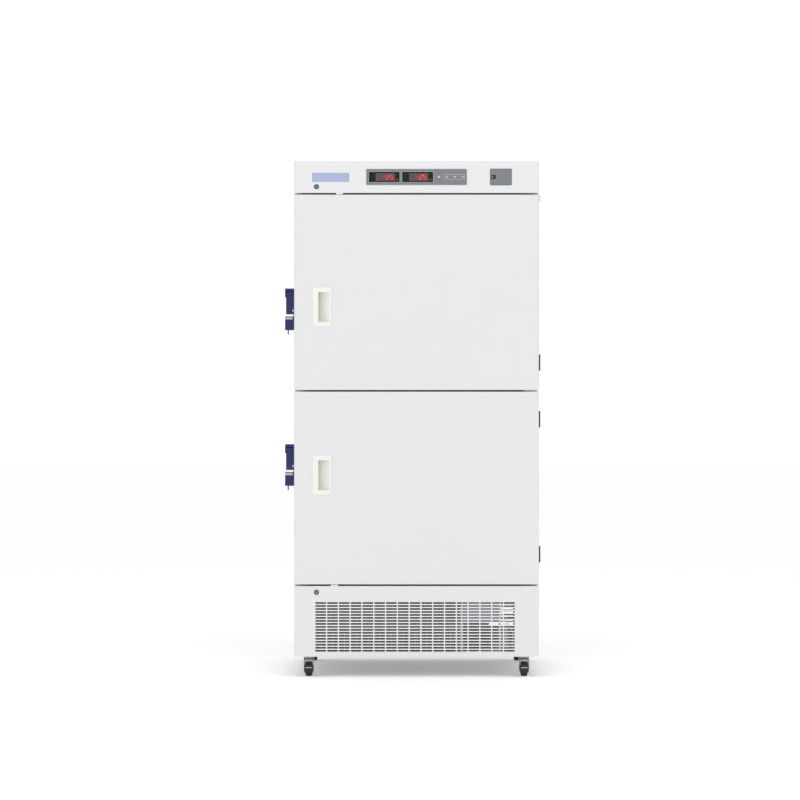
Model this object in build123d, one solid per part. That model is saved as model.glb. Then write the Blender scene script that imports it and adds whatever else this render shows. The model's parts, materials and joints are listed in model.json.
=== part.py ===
from build123d import *
from math import cos, radians, sin, tan
import os

# A two-door upright laboratory freezer, in millimetres.
# +Z is up, -Y is the front, +X is the hinge side. The floor is z = 0, and the origin lies
# under the middle of the cabinet, halfway between the door fronts and the back.

# Cabinet
cabinet_width = 833.0
overall_depth = 735.0
base_height = 240.0
lower_door_height = 655.0
upper_door_height = 664.0
header_height = 109.0
panel_gap = 6.0
sheet = 1.2
edge_radius = 10.0
lip_chamfer = 0.8
cover_return = 20.0
case_flange = 14.0
back_recess = 8.0

# Insulation, chambers and their fittings
side_wall = 80.0
rear_wall = 85.0
chamber_floor = 80.0
chamber_roof = 95.0
chamber_rim = 45.0
liner_sheet = 1.0
liner_radius = 15.0
frame_sheet = 2.0
collar_depth = 24.0
collar_wall = 2.0
collar_clearance = 0.3
shelves_per_chamber = 2
shelf_sheet = 2.5
shelf_lip = 12.0
shelf_setback = 14.0
channel_width = 14.0
channel_rise = 4.0
channel_runs = 6
back_rib_width = 34.0
back_rib_height = 5.0
back_ribs = 4

# Doors
door_depth = 62.0
door_liner_sheet = 1.5
plug_depth = 9.0
plug_taper = 20.0
plug_margin = 6.0
gasket_inset = 12.0
gasket_width = 26.0
gasket_depth = 12.0
gasket_foot = 2.5
gasket_magnet = 4.0
gasket_waist = 5.0
seal_clearance = 0.3

# Recessed door pulls
pull_width = 62.0
pull_height = 133.0
pull_proud = 2.0
pull_inset = 94.5
pull_from_mullion = 283.0
pull_grip_frame = 19.0
pull_plain_frame = 6.0
pull_top_frame = 17.0
pull_bottom_frame = 14.0
pull_wall = 2.5
pull_undercut = 11.0
pull_deep = 27.0
pull_shallow = 9.0
pull_floor_flat = 5.0
pull_corner = 3.0

# Side hinges
hinge_height = 56.0
hinge_leaf = 2.5
knuckle_radius = 3.9
knuckle_gap = 0.5
hinge_pin_radius = 2.0
running_clearance = 0.05
leaf_depth = 46.0
leaf_corner = 6.0
upper_hinge_height = 94.0
lower_hinge_drop = 94.0
lower_hinge_height = 99.0
pivot_lug_height = 17.0
pivot_ear = 4.0

# Side latches
latch_plate = 3.0
latch_reach = 31.5
latch_cheek = 2.8
latch_half_depth = 15.0
latch_wall = 2.4
latch_hood_height = 15.0
latch_edge = 3.0
lever_head_radius = 11.0
lever_side_gap = 0.4
lever_length = 73.0
lever_front = 9.0
lever_rear = 7.0
lever_bulge = 3.0
lever_notch = 3.0
lever_notch_drop = 60.0
latch_pin_radius = 3.0
hook_inset = 5.0
hook_width = 14.0
hook_thickness = 12.0
hook_tip = 6.0
hook_clearance = 1.0
latch_setback = 20.0
keeper_setback = 18.0
keeper_drop = 4.0
keeper_radius = 4.0
keeper_head = 6.5
keeper_plate_height = 36.0
lock_block_drop = 80.0
lock_block_height = 47.0
lock_band_height = 11.0
lock_band_recess = 2.0
lock_pin_out = 21.0
lock_pin_radius = 2.0
lock_pin_head = 4.0
lock_pin_head_height = 4.0
lock_pin_tail = 15.0
upper_latch_height = 331.0
lower_latch_drop = 194.0

# Key locks
lock_inset = 76.5
lock_height = 21.0
barrel_radius = 7.0
barrel_flange = 8.5
barrel_proud = 1.5
barrel_length = 20.7
plug_radius = 5.0
cam_sheet = 3.0
cam_width = 12.0
cam_reach = 34.0
cam_gap = 0.5
cam_slot_clearance = 1.5
barrel_fit = 0.1
keyway_width = 1.6
keyway_length = 7.0
keyway_depth = 3.0

# Control panel
panel_rise = 54.0
bezel_width = 342.0
bezel_height = 54.0
bezel_plate = 3.0
bezel_proud = 1.5
bezel_lap = 3.0
bezel_margin = 8.7
window_gap = 8.6
keypad_width = 114.7
window_height = 35.0
window_sheet = 2.0
window_fit = 0.1
display_width = 66.0
display_height = 26.0
display_depth = 3.0
button_inset = 14.6
button_pitch = 26.8
button_count = 4
button_width = 14.0
button_height = 11.0
button_proud = 1.0
button_fit = 0.3
button_flange = 1.5
button_travel = 0.8
board_gap = 4.5
board_sheet = 1.6
board_margin = 6.0
switch_width = 3.5
boss_width = 6.0

# Power plate and rocker
power_plate_width = 74.0
power_plate_height = 56.0
power_plate_x = 287.0
rocker_x = 262.0
rocker_width = 11.2
rocker_height = 10.6
rocker_fit = 0.6
rocker_tilt = 8.0
rocker_depth = 5.0
rocker_pin_radius = 1.0
rocker_pin_length = 1.5
switch_wall = 3.0
switch_depth = 12.0

# Ventilation grille
grille_columns = 17
grille_rows = 17
slot_length = 36.0
slot_height = 5.5
slot_bridge = 4.1
row_pitch = 10.15
grille_offset = -5.0
grille_rise = 101.3

# Machine room
tray_sheet = 2.0
tray_flange = 30.0
caster_rail_width = 60.0
caster_rail_height = 12.0
condenser_inset = 70.8
condenser_height = 155.0
condenser_depth = 44.0
condenser_rise = 22.0
condenser_setback = 26.0
fin_count = 14
fin_sheet = 0.8
flat_tube_depth = 24.0
flat_tube_height = 5.0
tube_rows = 3
coil_header_radius = 6.0
end_plate = 2.0
shroud_depth = 24.0
shroud_sheet = 2.0
fan_radius = 66.0
fan_clearance = 4.0
fan_hub_radius = 24.0
fan_hub_length = 20.0
fan_blades = 5
blade_sheet = 1.5
blade_pitch = 28.0
blade_chord = 46.0
motor_radius = 34.0
motor_length = 42.0
motor_gap = 6.0
motor_shaft_radius = 4.0
motor_arm = 10.0
compressor_setback = 202.5
compressor_radius = 84.0
compressor_height = 158.0
compressor_dome = 22.0
compressor_foot = 16.0
compressor_plate = 3.0
grommet_width = 20.0
box_inset = 131.8
box_gap = 10.0
box_width = 123.0
box_depth = 62.0
box_height = 66.0
box_rise = 116.0
line_radius = 4.0
line_bend = 12.0
drier_radius = 11.0
drier_length = 84.0
vent_columns = 5
vent_rows = 8
vent_length = 112.0
vent_height = 6.0
vent_pitch = 14.0
inlet_width = 48.0
inlet_height = 28.0
inlet_depth = 20.0
inlet_x = -320.0

# Casters
wheel_diameter = 50.0
wheel_width = 23.5
wheel_side_gap = 0.5
fork_leg = 4.5
fork_crown = 5.0
crown_gap = 3.5
axle_radius = 3.0
axle_boss = 8.0
crown_half = 9.0
swivel_radius = 6.0
swivel_gap = 0.5
cup_radius = 19.0
cup_height = 7.5
caster_plate = 2.5
caster_plate_length = 60.0
caster_plate_width = 46.0
caster_trail = 18.0
caster_from_side = 49.5
caster_from_front = 62.0
caster_from_back = 62.0
pedal_pin_radius = 1.6
pedal_knuckle = 3.2
pedal_pin_reach = 31.0
pedal_pin_angle = 45.0
pedal_sheet = 2.5
pedal_width = 30.0
pedal_gap = 4.0
pedal_start = 25.0
pedal_end = -22.0

# Levels, from the floor up
caster_height = wheel_diameter + crown_gap + fork_crown + swivel_gap + cup_height + caster_plate
base_bottom = caster_height
base_top = base_bottom + base_height
lower_bottom = base_top + panel_gap
lower_top = lower_bottom + lower_door_height
upper_bottom = lower_top + panel_gap
upper_top = upper_bottom + upper_door_height
header_bottom = upper_top + panel_gap
cabinet_top = header_bottom + header_height
foam_bottom = lower_bottom + chamber_rim - chamber_floor
foam_top = upper_top - chamber_rim + chamber_roof
tray_top = base_bottom + tray_sheet
panel_z = header_bottom + panel_rise
window_width = (bezel_width - bezel_margin - window_gap - keypad_width) / 2

# Places from front to back
front = -overall_depth / 2
back = overall_depth / 2
cover_back = front + cover_return
door_back = front + door_depth
face = door_back + gasket_depth + seal_clearance
chamber_front = face + frame_sheet
chamber_back = back - rear_wall
skin_back = back - back_recess - sheet

# Places from side to side
side = cabinet_width / 2
inner_side = side - sheet
chamber_side = side - side_wall
hinge_x = side + knuckle_radius + knuckle_gap
lock_x = -side + lock_inset

# Levels and depths that follow from the sizes above
rail_top = tray_top + caster_rail_height
pull_lip = sheet + pull_wall

# Door spans, and the chamber behind each door
doors = {"upper": (upper_bottom, upper_top), "lower": (lower_bottom, lower_top)}
chambers = {name: (low + chamber_rim, high - chamber_rim) for name, (low, high) in doors.items()}
pull_z = {"upper": upper_bottom + pull_from_mullion, "lower": lower_top - pull_from_mullion}
latch_z = {"upper": upper_bottom + upper_latch_height, "lower": lower_top - lower_latch_drop}
hinge_z = {
    "upper": [upper_bottom + upper_hinge_height],
    "lower": [lower_top - lower_hinge_drop, lower_bottom + lower_hinge_height],
}
lock_z = {"header": header_bottom + lock_height, "base": base_top - lock_height}


# Shared shapes

def block(x, y, z):
    """A box between the pairs of limits x, y and z."""
    size = [high - low for low, high in (x, y, z)]
    middle = [(high + low) / 2 for low, high in (x, y, z)]
    return Pos(*middle) * Box(*size)


def rod(radius, start, end):
    """A round bar from one point to another."""
    start, end = Vector(*start), Vector(*end)
    foot = Plane(origin=start, z_dir=end - start)
    return foot * Cylinder(radius, (end - start).length, align=(Align.CENTER, Align.CENTER, Align.MIN))


def octagon_bar(radius, start, end):
    """A bar with eight flat sides from one point to another, its corners at the radius."""
    start, end = Vector(*start), Vector(*end)
    foot = Plane(origin=start, z_dir=end - start)
    return foot * extrude(RegularPolygon(radius, 8), (end - start).length)


def across(sketch, low, high):
    """A side view, drawn in Y and Z, given its width along X."""
    return extrude(Plane.YZ.offset(low) * sketch, high - low)


def deep(sketch, low, high):
    """A front view, drawn in X and Z, given its depth along Y."""
    return extrude(Plane.XZ.offset(-high) * sketch, high - low)


def upward(sketch, low, high):
    """A plan view, drawn in X and Y, given its height along Z."""
    return extrude(Plane.XY.offset(low) * sketch, high - low)


def outline(*points):
    """A flat face inside a closed run of points."""
    return make_face(Polyline(*points, close=True))


def group(*shapes):
    """Separate solids kept together as one sub-part."""
    return Compound(children=[solid for shape in shapes for solid in shape.solids()])


def folded_front(low, high, depth):
    """A sheet pan, open at the back, with rounded upright edges and eased lips."""
    shell = block((-side, side), (front, front + depth), (low, high))
    shell = fillet(shell.edges().filter_by(Axis.Z).group_by(Axis.Y)[0], edge_radius)
    shell = chamfer(shell.faces().sort_by(Axis.Y)[0].edges().filter_by(Axis.X), lip_chamfer)
    inside = block((-inner_side, inner_side), (front + sheet, front + depth), (low + sheet, high - sheet))
    inside = fillet(inside.edges().filter_by(Axis.Z).group_by(Axis.Y)[0], edge_radius - sheet)
    return shell - inside


def cam_slot(low, high):
    """The way of a lock's cam through the edge of a door or a shelf."""
    cam_front = front + barrel_length + cam_gap
    swing = (cam_reach**2 - (lock_height - sheet) ** 2) ** 0.5
    return block(
        (lock_x - cam_width / 2 - cam_slot_clearance, lock_x + swing + cam_slot_clearance),
        (cam_front - cam_slot_clearance, cam_front + cam_sheet + cam_slot_clearance),
        (low, high),
    )


# Cabinet

def side_panel(hand):
    """One folded side sheet: full depth at the header and base, stepped back behind the doors."""
    profile = outline(
        (cover_back, base_bottom), (back, base_bottom), (back, cabinet_top), (cover_back, cabinet_top),
        (cover_back, header_bottom), (face, header_bottom), (face, base_top), (cover_back, base_top),
    )
    panel = across(profile, *sorted((hand * inner_side, hand * side)))
    flange_x = sorted((hand * inner_side, hand * (side - case_flange)))
    return panel + block(flange_x, (back - sheet, back), (base_bottom, cabinet_top - sheet))


def top_pivot():
    """The bracket over the upper door: a leaf on the cabinet side with an ear and a pin."""
    ear_low = upper_top + (panel_gap - pivot_ear) / 2
    ear_high = ear_low + pivot_ear
    leaf_low = upper_top - pivot_lug_height
    leaf = block((side, side + hinge_leaf), (face + knuckle_radius + knuckle_gap, face + leaf_depth), (leaf_low, ear_high))
    web = block((side, side + hinge_leaf), (face, face + knuckle_radius + knuckle_gap), (ear_low, ear_high))
    ear = octagon_bar(knuckle_radius, (hinge_x, face, ear_low), (hinge_x, face, ear_high))
    bridge = block((side, hinge_x), (face, face + knuckle_radius), (ear_low, ear_high))
    pin = rod(hinge_pin_radius, (hinge_x, face, leaf_low), (hinge_x, face, ear_low))
    return leaf + web + ear + bridge + pin


def outer_case():
    """Side panels, top panel, and the shelves that close the header and base over the doors."""
    top = block((-inner_side, inner_side), (cover_back, back), (cabinet_top - sheet, cabinet_top))
    for hand in (-1, 1):
        flange_x = sorted((hand * inner_side, hand * (inner_side - sheet)))
        top += block(flange_x, (cover_back, skin_back), (cabinet_top - case_flange, cabinet_top - sheet))
    header_floor = block((-inner_side, inner_side), (cover_back, face), (header_bottom, header_bottom + sheet))
    base_shelf = block((-inner_side, inner_side), (cover_back, face), (base_top - sheet, base_top))
    header_floor -= cam_slot(header_bottom, header_bottom + sheet)
    base_shelf -= cam_slot(base_top - sheet, base_top)
    return group(side_panel(-1), side_panel(1) + top_pivot(), top, header_floor, base_shelf)


def back_panel():
    """The rear sheet with pressed upright ribs."""
    panel = block((-inner_side, inner_side), (skin_back, skin_back + sheet), (foam_bottom, cabinet_top - sheet))
    rib_plan = Trapezoid(back_rib_width, back_rib_height, 60)
    rib_low = foam_bottom + 2 * back_rib_width
    rib_high = cabinet_top - 2 * back_rib_width
    for index in range(back_ribs):
        x = (index - (back_ribs - 1) / 2) * cabinet_width / back_ribs
        panel += upward(Pos(x, skin_back + sheet + back_rib_height / 2) * rib_plan, rib_low, rib_high)
    return panel


def insulation():
    """Foamed walls round both chambers."""
    foam = block((-inner_side, inner_side), (chamber_front, skin_back), (foam_bottom, foam_top))
    half = chamber_side + liner_sheet
    for low, high in chambers.values():
        pocket_z = (low - liner_sheet, high + liner_sheet)
        foam -= block((-half, half), (chamber_front, chamber_back + liner_sheet), pocket_z)
    return foam


def chamber_liner(low, high):
    """One formed inner box, open at the front and rounded inside along its long corners."""
    outer_x = (-chamber_side - liner_sheet, chamber_side + liner_sheet)
    outer = block(outer_x, (chamber_front, chamber_back + liner_sheet), (low - liner_sheet, high + liner_sheet))
    inner = block((-chamber_side, chamber_side), (chamber_front, chamber_back), (low, high))
    return outer - fillet(inner.edges().filter_by(Axis.Y), liner_radius)


def chamber_liners():
    """Both inner boxes."""
    return group(*[chamber_liner(low, high) for low, high in chambers.values()])


def front_frame():
    """The cabinet face round both openings, with a collar that laps inside each liner."""
    frame = block((-inner_side, inner_side), (face, chamber_front), (foam_bottom, foam_top))
    outer_half = chamber_side - collar_clearance
    inner_half = outer_half - collar_wall
    for low, high in chambers.values():
        outer_z = (low + collar_clearance, high - collar_clearance)
        inner_z = (outer_z[0] + collar_wall, outer_z[1] - collar_wall)
        collar = block((-outer_half, outer_half), (face, face + collar_depth), outer_z)
        opening = block((-inner_half, inner_half), (face, face + collar_depth), inner_z)
        collar = chamfer(collar.edges().filter_by(Axis.Y), liner_radius)
        frame = frame + collar - chamfer(opening.edges().filter_by(Axis.Y), liner_radius - collar_wall)
    return frame


def evaporator_shelf(z):
    """A refrigerated shelf plate with a turned lip and a pressed serpentine channel below."""
    low_y, high_y = face + collar_depth + shelf_setback, chamber_back
    shelf = block((-chamber_side, chamber_side), (low_y, high_y), (z - shelf_sheet, z))
    shelf += block((-chamber_side, chamber_side), (low_y, low_y + shelf_sheet), (z - shelf_lip, z))
    pitch = (high_y - low_y) / (channel_runs + 1)
    half = chamber_side - 2 * channel_width
    section = Pos(0, z - shelf_sheet - channel_rise / 2) * Trapezoid(channel_width, channel_rise, 60, rotation=180)
    centres = [low_y + pitch * (run + 1) for run in range(channel_runs)]
    for run, y in enumerate(centres):
        shelf += across(Pos(y, 0) * section, -half, half)
        if run:
            x = half - channel_width / 2 if run % 2 else -half + channel_width / 2
            shelf += deep(Pos(x, 0) * section, centres[run - 1], y)
    return shelf


def shelf_levels(low, high):
    """The heights of a chamber's shelves, evenly spaced."""
    step = (high - low) / (shelves_per_chamber + 1)
    return [low + step * (index + 1) for index in range(shelves_per_chamber)]


def evaporator_shelves():
    """Every fixed shelf of both chambers."""
    levels = [z for low, high in chambers.values() for z in shelf_levels(low, high)]
    return group(*[evaporator_shelf(z) for z in levels])


# Base

def base_chassis():
    """The floor tray with turned-up edges and a raised rail over each pair of casters."""
    tray = block((-inner_side, inner_side), (cover_back, skin_back), (base_bottom, tray_top))
    for hand in (-1, 1):
        flange_x = sorted((hand * inner_side, hand * (inner_side - tray_sheet)))
        tray += block(flange_x, (cover_back, skin_back), (base_bottom, base_bottom + tray_flange))
    half = inner_side - tray_sheet
    for y in caster_rows():
        rail_y = (y - caster_rail_width / 2, y + caster_rail_width / 2)
        hollow_y = (rail_y[0] + tray_sheet, rail_y[1] - tray_sheet)
        tray += block((-half, half), rail_y, (tray_top, rail_top))
        tray -= block((-half, half), hollow_y, (tray_top, rail_top - tray_sheet))
    return tray


def barrel_hole(z):
    """The eight-sided hole that keeps a lock barrel from turning in its sheet."""
    return octagon_bar(barrel_radius + barrel_fit, (lock_x, front, z), (lock_x, front + sheet, z))


def slotted(panel, x, z, field, slot, pitch, depth):
    """A panel with a grid of plain slots about x, z: field and slot give counts and sizes."""
    size = [count * step for count, step in zip(field, pitch)]
    cut = Pos(x, z) * Rectangle(*size)
    slots = [(place * Rectangle(*slot)).wire() for place in GridLocations(*pitch, *field)]
    grid = Pos(x, z) * Face(Rectangle(*size).wire(), slots)
    return panel - deep(cut, *depth) + deep(grid, *depth)


def base_front_panel():
    """The folded base cover with its field of ventilation slots and the lock's hole."""
    panel = folded_front(base_bottom, base_top, cover_return)
    pitch = (slot_length + slot_bridge, row_pitch)
    field = (grille_columns, grille_rows)
    sheet_y = (front, front + sheet)
    z = base_bottom + grille_rise
    panel = slotted(panel, grille_offset, z, field, (slot_length, slot_height), pitch, sheet_y)
    return panel - barrel_hole(lock_z["base"])


def rear_service_cover():
    """The machine-room cover at the back, with vent slots and the power inlet."""
    cover_y = (skin_back, skin_back + sheet)
    cover = block((-inner_side, inner_side), cover_y, (base_bottom, foam_bottom))
    middle = (tray_top + foam_bottom) / 2
    slot = (vent_length, vent_height)
    pitch = (vent_length + vent_pitch, vent_pitch)
    cover = slotted(cover, inlet_width, middle, (vent_columns, vent_rows), slot, pitch, cover_y)
    body_x = (inlet_x - inlet_width / 2, inlet_x + inlet_width / 2)
    body_z = (middle - inlet_height / 2, middle + inlet_height / 2)
    cover += block(body_x, (skin_back + sheet - inlet_depth, skin_back + 2 * sheet), body_z)
    socket = Pos(inlet_x, middle) * Rectangle(inlet_width * 0.56, inlet_height * 0.62)
    cover -= deep(socket, skin_back + 3 * sheet - inlet_depth, skin_back + 2 * sheet)
    for offset in (-1, 0, 1):
        x = inlet_x + offset * inlet_width / 6
        blade = (x - sheet / 2, x + sheet / 2)
        cover += block(blade, (skin_back + 2 * sheet - inlet_depth, skin_back), (middle - 2 * sheet, middle + 2 * sheet))
    return cover


# Header

def header_fascia():
    """The folded header cover with its cut-outs for the bezel, the power plate and the lock."""
    cover = folded_front(header_bottom, cabinet_top, cover_return)
    cut = (front, front + sheet)
    bezel_hole = Pos(0, panel_z) * Rectangle(bezel_width - 2 * bezel_lap, bezel_height - 2 * bezel_lap)
    plate_hole = Pos(power_plate_x, panel_z) * Rectangle(
        power_plate_width - 2 * bezel_lap, power_plate_height - 2 * bezel_lap
    )
    cover = cover - deep(bezel_hole, *cut) - deep(plate_hole, *cut)
    return cover - barrel_hole(lock_z["header"])


def window_places():
    """The middles of the two display windows, counted from the bezel's left end."""
    first = -bezel_width / 2 + bezel_margin + window_width / 2
    return [Pos(first + index * (window_width + window_gap), panel_z) for index in range(2)]


def button_places():
    """The middles of the control buttons, counted from the bezel's right end."""
    first = bezel_width / 2 - button_inset - (button_count - 1) * button_pitch
    return [Pos(first + index * button_pitch, panel_z) for index in range(button_count)]


def stepped_plate(place, width, height, lap, depth):
    """A moulded plate that laps over the sheet and drops into its cut-out."""
    lap_face = place * RectangleRounded(width, height, pull_corner)
    plug = place * Rectangle(width - 2 * lap - window_fit, height - 2 * lap - window_fit)
    return deep(lap_face, front - bezel_proud, front) + deep(plug, front, front + depth)


def boss_places():
    """Where the board's four bosses stand behind the bezel."""
    half_x = bezel_width / 2 - bezel_lap - board_margin
    half_z = bezel_height / 2 - bezel_lap - board_margin / 2 - boss_width / 4
    return [(x, panel_z + z) for x in (-half_x, half_x) for z in (-half_z, half_z)]


def control_bezel():
    """The bezel with two windows, four button openings and the board's bosses."""
    inner = bezel_plate - bezel_proud
    bezel = stepped_plate(Pos(0, panel_z), bezel_width, bezel_height, bezel_lap, inner)
    through = (front - bezel_proud, front + inner)
    for place in window_places():
        bezel -= deep(place * Rectangle(window_width, window_height), *through)
    for place in button_places():
        bezel -= deep(place * Rectangle(button_width, button_height), *through)
    for x, z in boss_places():
        boss = Pos(x, z) * Rectangle(boss_width, boss_width)
        bezel += deep(boss, front + inner, front + inner + board_gap)
    return bezel


def display_windows():
    """Two smoked window panes set into the bezel."""
    panes = [place * Rectangle(window_width - 2 * window_fit, window_height - 2 * window_fit) for place in window_places()]
    low = front - bezel_proud + window_fit
    return group(*[deep(pane, low, low + window_sheet) for pane in panes])


def controller_board():
    """The circuit board behind the bezel, with its displays and button switches."""
    board_front = front + bezel_plate - bezel_proud + board_gap
    outline_face = Pos(0, panel_z) * Rectangle(bezel_width - 2 * bezel_lap, bezel_height - 2 * bezel_lap)
    board = deep(outline_face, board_front, board_front + board_sheet)
    for place in window_places():
        board += deep(place * Rectangle(display_width, display_height), board_front - display_depth, board_front)
    flange_back = front + bezel_plate - bezel_proud + button_flange
    for place in button_places():
        switch = place * Rectangle(switch_width, switch_width)
        board += deep(switch, flange_back + button_travel + window_fit, board_front)
    return board


def button(index):
    """A push button: its cap in the bezel, and the flange that holds it in behind."""
    place = button_places()[index]
    inner = front + bezel_plate - bezel_proud
    cap_face = place * Rectangle(button_width - 2 * button_fit, button_height - 2 * button_fit)
    cap = deep(cap_face, front - bezel_proud - button_proud, inner + running_clearance)
    cap = chamfer(cap.faces().sort_by(Axis.Y)[0].edges(), 0.5)
    flange = place * Rectangle(button_width + 2 * button_fit, button_height + 2 * button_fit)
    return cap + deep(flange, inner + running_clearance, inner + button_flange)


def power_plate():
    """The plate at the header's right end, with the rocker's switch body behind it."""
    inner = bezel_plate - bezel_proud
    plate = stepped_plate(Pos(power_plate_x, panel_z), power_plate_width, power_plate_height, bezel_lap, inner)
    hole = Pos(rocker_x, panel_z) * Rectangle(rocker_width + 2 * rocker_fit, rocker_height + 2 * window_fit)
    body = Pos(rocker_x, panel_z) * Rectangle(rocker_width + 2 * switch_wall, rocker_height + 2 * switch_wall)
    plate += deep(body, front + inner, front + switch_depth)
    plate -= deep(hole, front - bezel_proud, front + switch_depth - switch_wall)
    reach = rocker_height / 2 + rocker_pin_length + window_fit
    pivot_y = front + inner
    bore = rod(rocker_pin_radius + running_clearance, (rocker_x, pivot_y, panel_z - reach), (rocker_x, pivot_y, panel_z + reach))
    return plate - bore


def rocker():
    """The power rocker, tipped to its off side, with its two pivot pins."""
    half = rocker_width / 2
    rise = half * tan(radians(rocker_tilt))
    profile = outline(
        (-half, -bezel_plate / 2 - rise), (0, -bezel_plate / 2), (half, -bezel_plate / 2 - rise),
        (half * 0.8, rocker_depth / 2), (0, rocker_depth), (-half * 0.8, rocker_depth / 2),
    )
    body = upward(profile, panel_z - rocker_height / 2, panel_z + rocker_height / 2)
    reach = rocker_height / 2 + rocker_pin_length
    body += rod(rocker_pin_radius, (0, 0, panel_z - reach), (0, 0, panel_z + reach))
    pivot_y = front + bezel_plate - bezel_proud
    return Pos(rocker_x, pivot_y, 0) * Rot(0, 0, -rocker_tilt) * body


# Key locks

def lock_barrels():
    """The two lock barrels: a round flange on the cover, and an eight-sided body behind it."""
    barrels = []
    for z in lock_z.values():
        flange_front, barrel_end = (lock_x, front - barrel_proud, z), (lock_x, front + barrel_length, z)
        barrel = octagon_bar(barrel_radius, (lock_x, front, z), barrel_end)
        barrel += rod(barrel_flange, flange_front, (lock_x, front, z))
        barrels.append(barrel - rod(plug_radius + running_clearance, flange_front, barrel_end))
    return group(*barrels)


def lock_plug(name):
    """A key plug with its keyway, and the cam behind it that swings into the door's edge."""
    z = lock_z[name]
    cam_front = front + barrel_length + cam_gap
    plug = rod(plug_radius, (lock_x, front - barrel_proud, z), (lock_x, cam_front, z))
    keyway = Pos(lock_x, z) * Rectangle(keyway_width, keyway_length)
    plug -= deep(keyway, front - barrel_proud, front - barrel_proud + keyway_depth)
    half = cam_width / 2
    cam = outline(
        (-half, -half), (cam_reach - half, -half), (cam_reach, -half / 2),
        (cam_reach, half / 2), (cam_reach - half, half), (-half, half),
    )
    return plug + deep(Pos(lock_x, z) * cam, cam_front, cam_front + cam_sheet)


# Doors

def top_pivot_lug():
    """The upper door's lug that the top pivot's pin drops into."""
    low, high = upper_top - pivot_lug_height, upper_top - knuckle_gap
    axis_low, axis_high = (hinge_x, face, low), (hinge_x, face, high)
    leaf = block((side, side + hinge_leaf), (face - leaf_depth, face - knuckle_radius - knuckle_gap), (low, high))
    web = block((side, side + hinge_leaf), (face - knuckle_radius - knuckle_gap, face), (low, high))
    lug = leaf + web + octagon_bar(knuckle_radius, axis_low, axis_high)
    return lug - rod(hinge_pin_radius + running_clearance, axis_low, axis_high)


def door_skin(name):
    """The folded door sheet with the pull's opening and the lock cam's slot."""
    low, high = doors[name]
    skin = folded_front(low, high, door_depth)
    opening = Pos(-side + pull_inset, pull_z[name]) * Rectangle(pull_width - 4 * pull_wall + pull_lip, pull_height - 2 * pull_wall)
    skin -= deep(opening, front, front + sheet)
    if name == "upper":
        return skin - cam_slot(high - sheet, high) + top_pivot_lug()
    return skin - cam_slot(low, low + sheet)


def plug_span(name):
    """The raised middle of a door's liner, inside its gasket."""
    low, high = doors[name]
    inset = gasket_inset + gasket_width + plug_margin
    return (side - inset, low + inset, high - inset)


def raised_plug(name, wall):
    """The tapered pad that stands off the liner, drawn in by a wall's thickness."""
    half, low, high = plug_span(name)
    pad = Pos(0, (low + high) / 2) * Rectangle(2 * (half - wall), high - low - 2 * wall)
    foot = Plane(origin=(0, door_back, 0), x_dir=(-1, 0, 0), z_dir=(0, 1, 0))
    return extrude(foot * pad, plug_depth - wall, taper=plug_taper)


def door_liner(name):
    """The formed inner door panel with its raised, tapered middle."""
    low, high = doors[name]
    liner = block((-inner_side, inner_side), (door_back - door_liner_sheet, door_back), (low + sheet, high - sheet))
    half, plug_low, plug_high = plug_span(name)
    wall = door_liner_sheet
    hollow = block((-half + wall, half - wall), (door_back - wall, door_back), (plug_low + wall, plug_high - wall))
    return liner - hollow + raised_plug(name, 0) - raised_plug(name, wall)


def door_foam(name):
    """The door's foam core, with room for the pull and the lock's cam."""
    low, high = doors[name]
    foam_y = (front + sheet, door_back - door_liner_sheet)
    foam = block((-inner_side, inner_side), foam_y, (low + sheet, high - sheet))
    foam = fillet(foam.edges().filter_by(Axis.Z).group_by(Axis.Y)[0], edge_radius - sheet)
    half, plug_low, plug_high = plug_span(name)
    wall = door_liner_sheet
    foam += block((-half + wall, half - wall), (door_back - wall, door_back), (plug_low + wall, plug_high - wall))
    foam += raised_plug(name, wall)
    foam -= pull_body(name, pull_wall)
    slot_depth = lock_height + panel_gap + sheet
    reach = cam_reach + cam_slot_clearance - slot_depth + sheet
    if name == "upper":
        return foam - cam_slot(high - sheet - reach, high)
    return foam - cam_slot(low, low + sheet + reach)


def gasket(name):
    """The magnetic seal: a foot, a narrower bellows and the magnet strip that meets the frame."""
    low, high = doors[name]
    middle = gasket_inset + gasket_width / 2
    rings = [
        (gasket_width / 2, door_back, door_back + gasket_foot),
        (gasket_width / 2 - gasket_waist, door_back + gasket_foot, door_back + gasket_depth - gasket_magnet),
        (gasket_width / 2 - gasket_foot, door_back + gasket_depth - gasket_magnet, door_back + gasket_depth),
    ]
    seal = Part()
    for half_width, start, end in rings:
        outer, inner = middle - half_width, middle + half_width
        ring = block((-side + outer, side - outer), (start, end), (low + outer, high - outer))
        seal += ring - block((-side + inner, side - inner), (start, end), (low + inner, high - inner))
    return seal


def pull_profile(wall):
    """The pull's pocket seen from above: a lip over a deep side, and a floor that rises to the right."""
    left = -pull_width / 2 + pull_grip_frame
    right = pull_width / 2 - pull_plain_frame
    return outline(
        (left - pull_undercut - wall, pull_lip - wall), (left - pull_undercut - wall, pull_deep + wall),
        (left - pull_undercut + pull_floor_flat + wall, pull_deep + wall), (right + wall, pull_shallow + wall),
        (right + wall, pull_lip - wall),
    )


def pull_limits(name, wall):
    """The pocket's lowest and highest points."""
    middle = pull_z[name]
    return (middle - pull_height / 2 + pull_bottom_frame - wall, middle + pull_height / 2 - pull_top_frame + wall)


def pull_body(name, wall):
    """The outside of the pull's cup, which the door's foam surrounds."""
    low, high = pull_limits(name, wall)
    cup = upward(pull_profile(wall), low, high)
    return Pos(-side + pull_inset, front, 0) * cup


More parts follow.
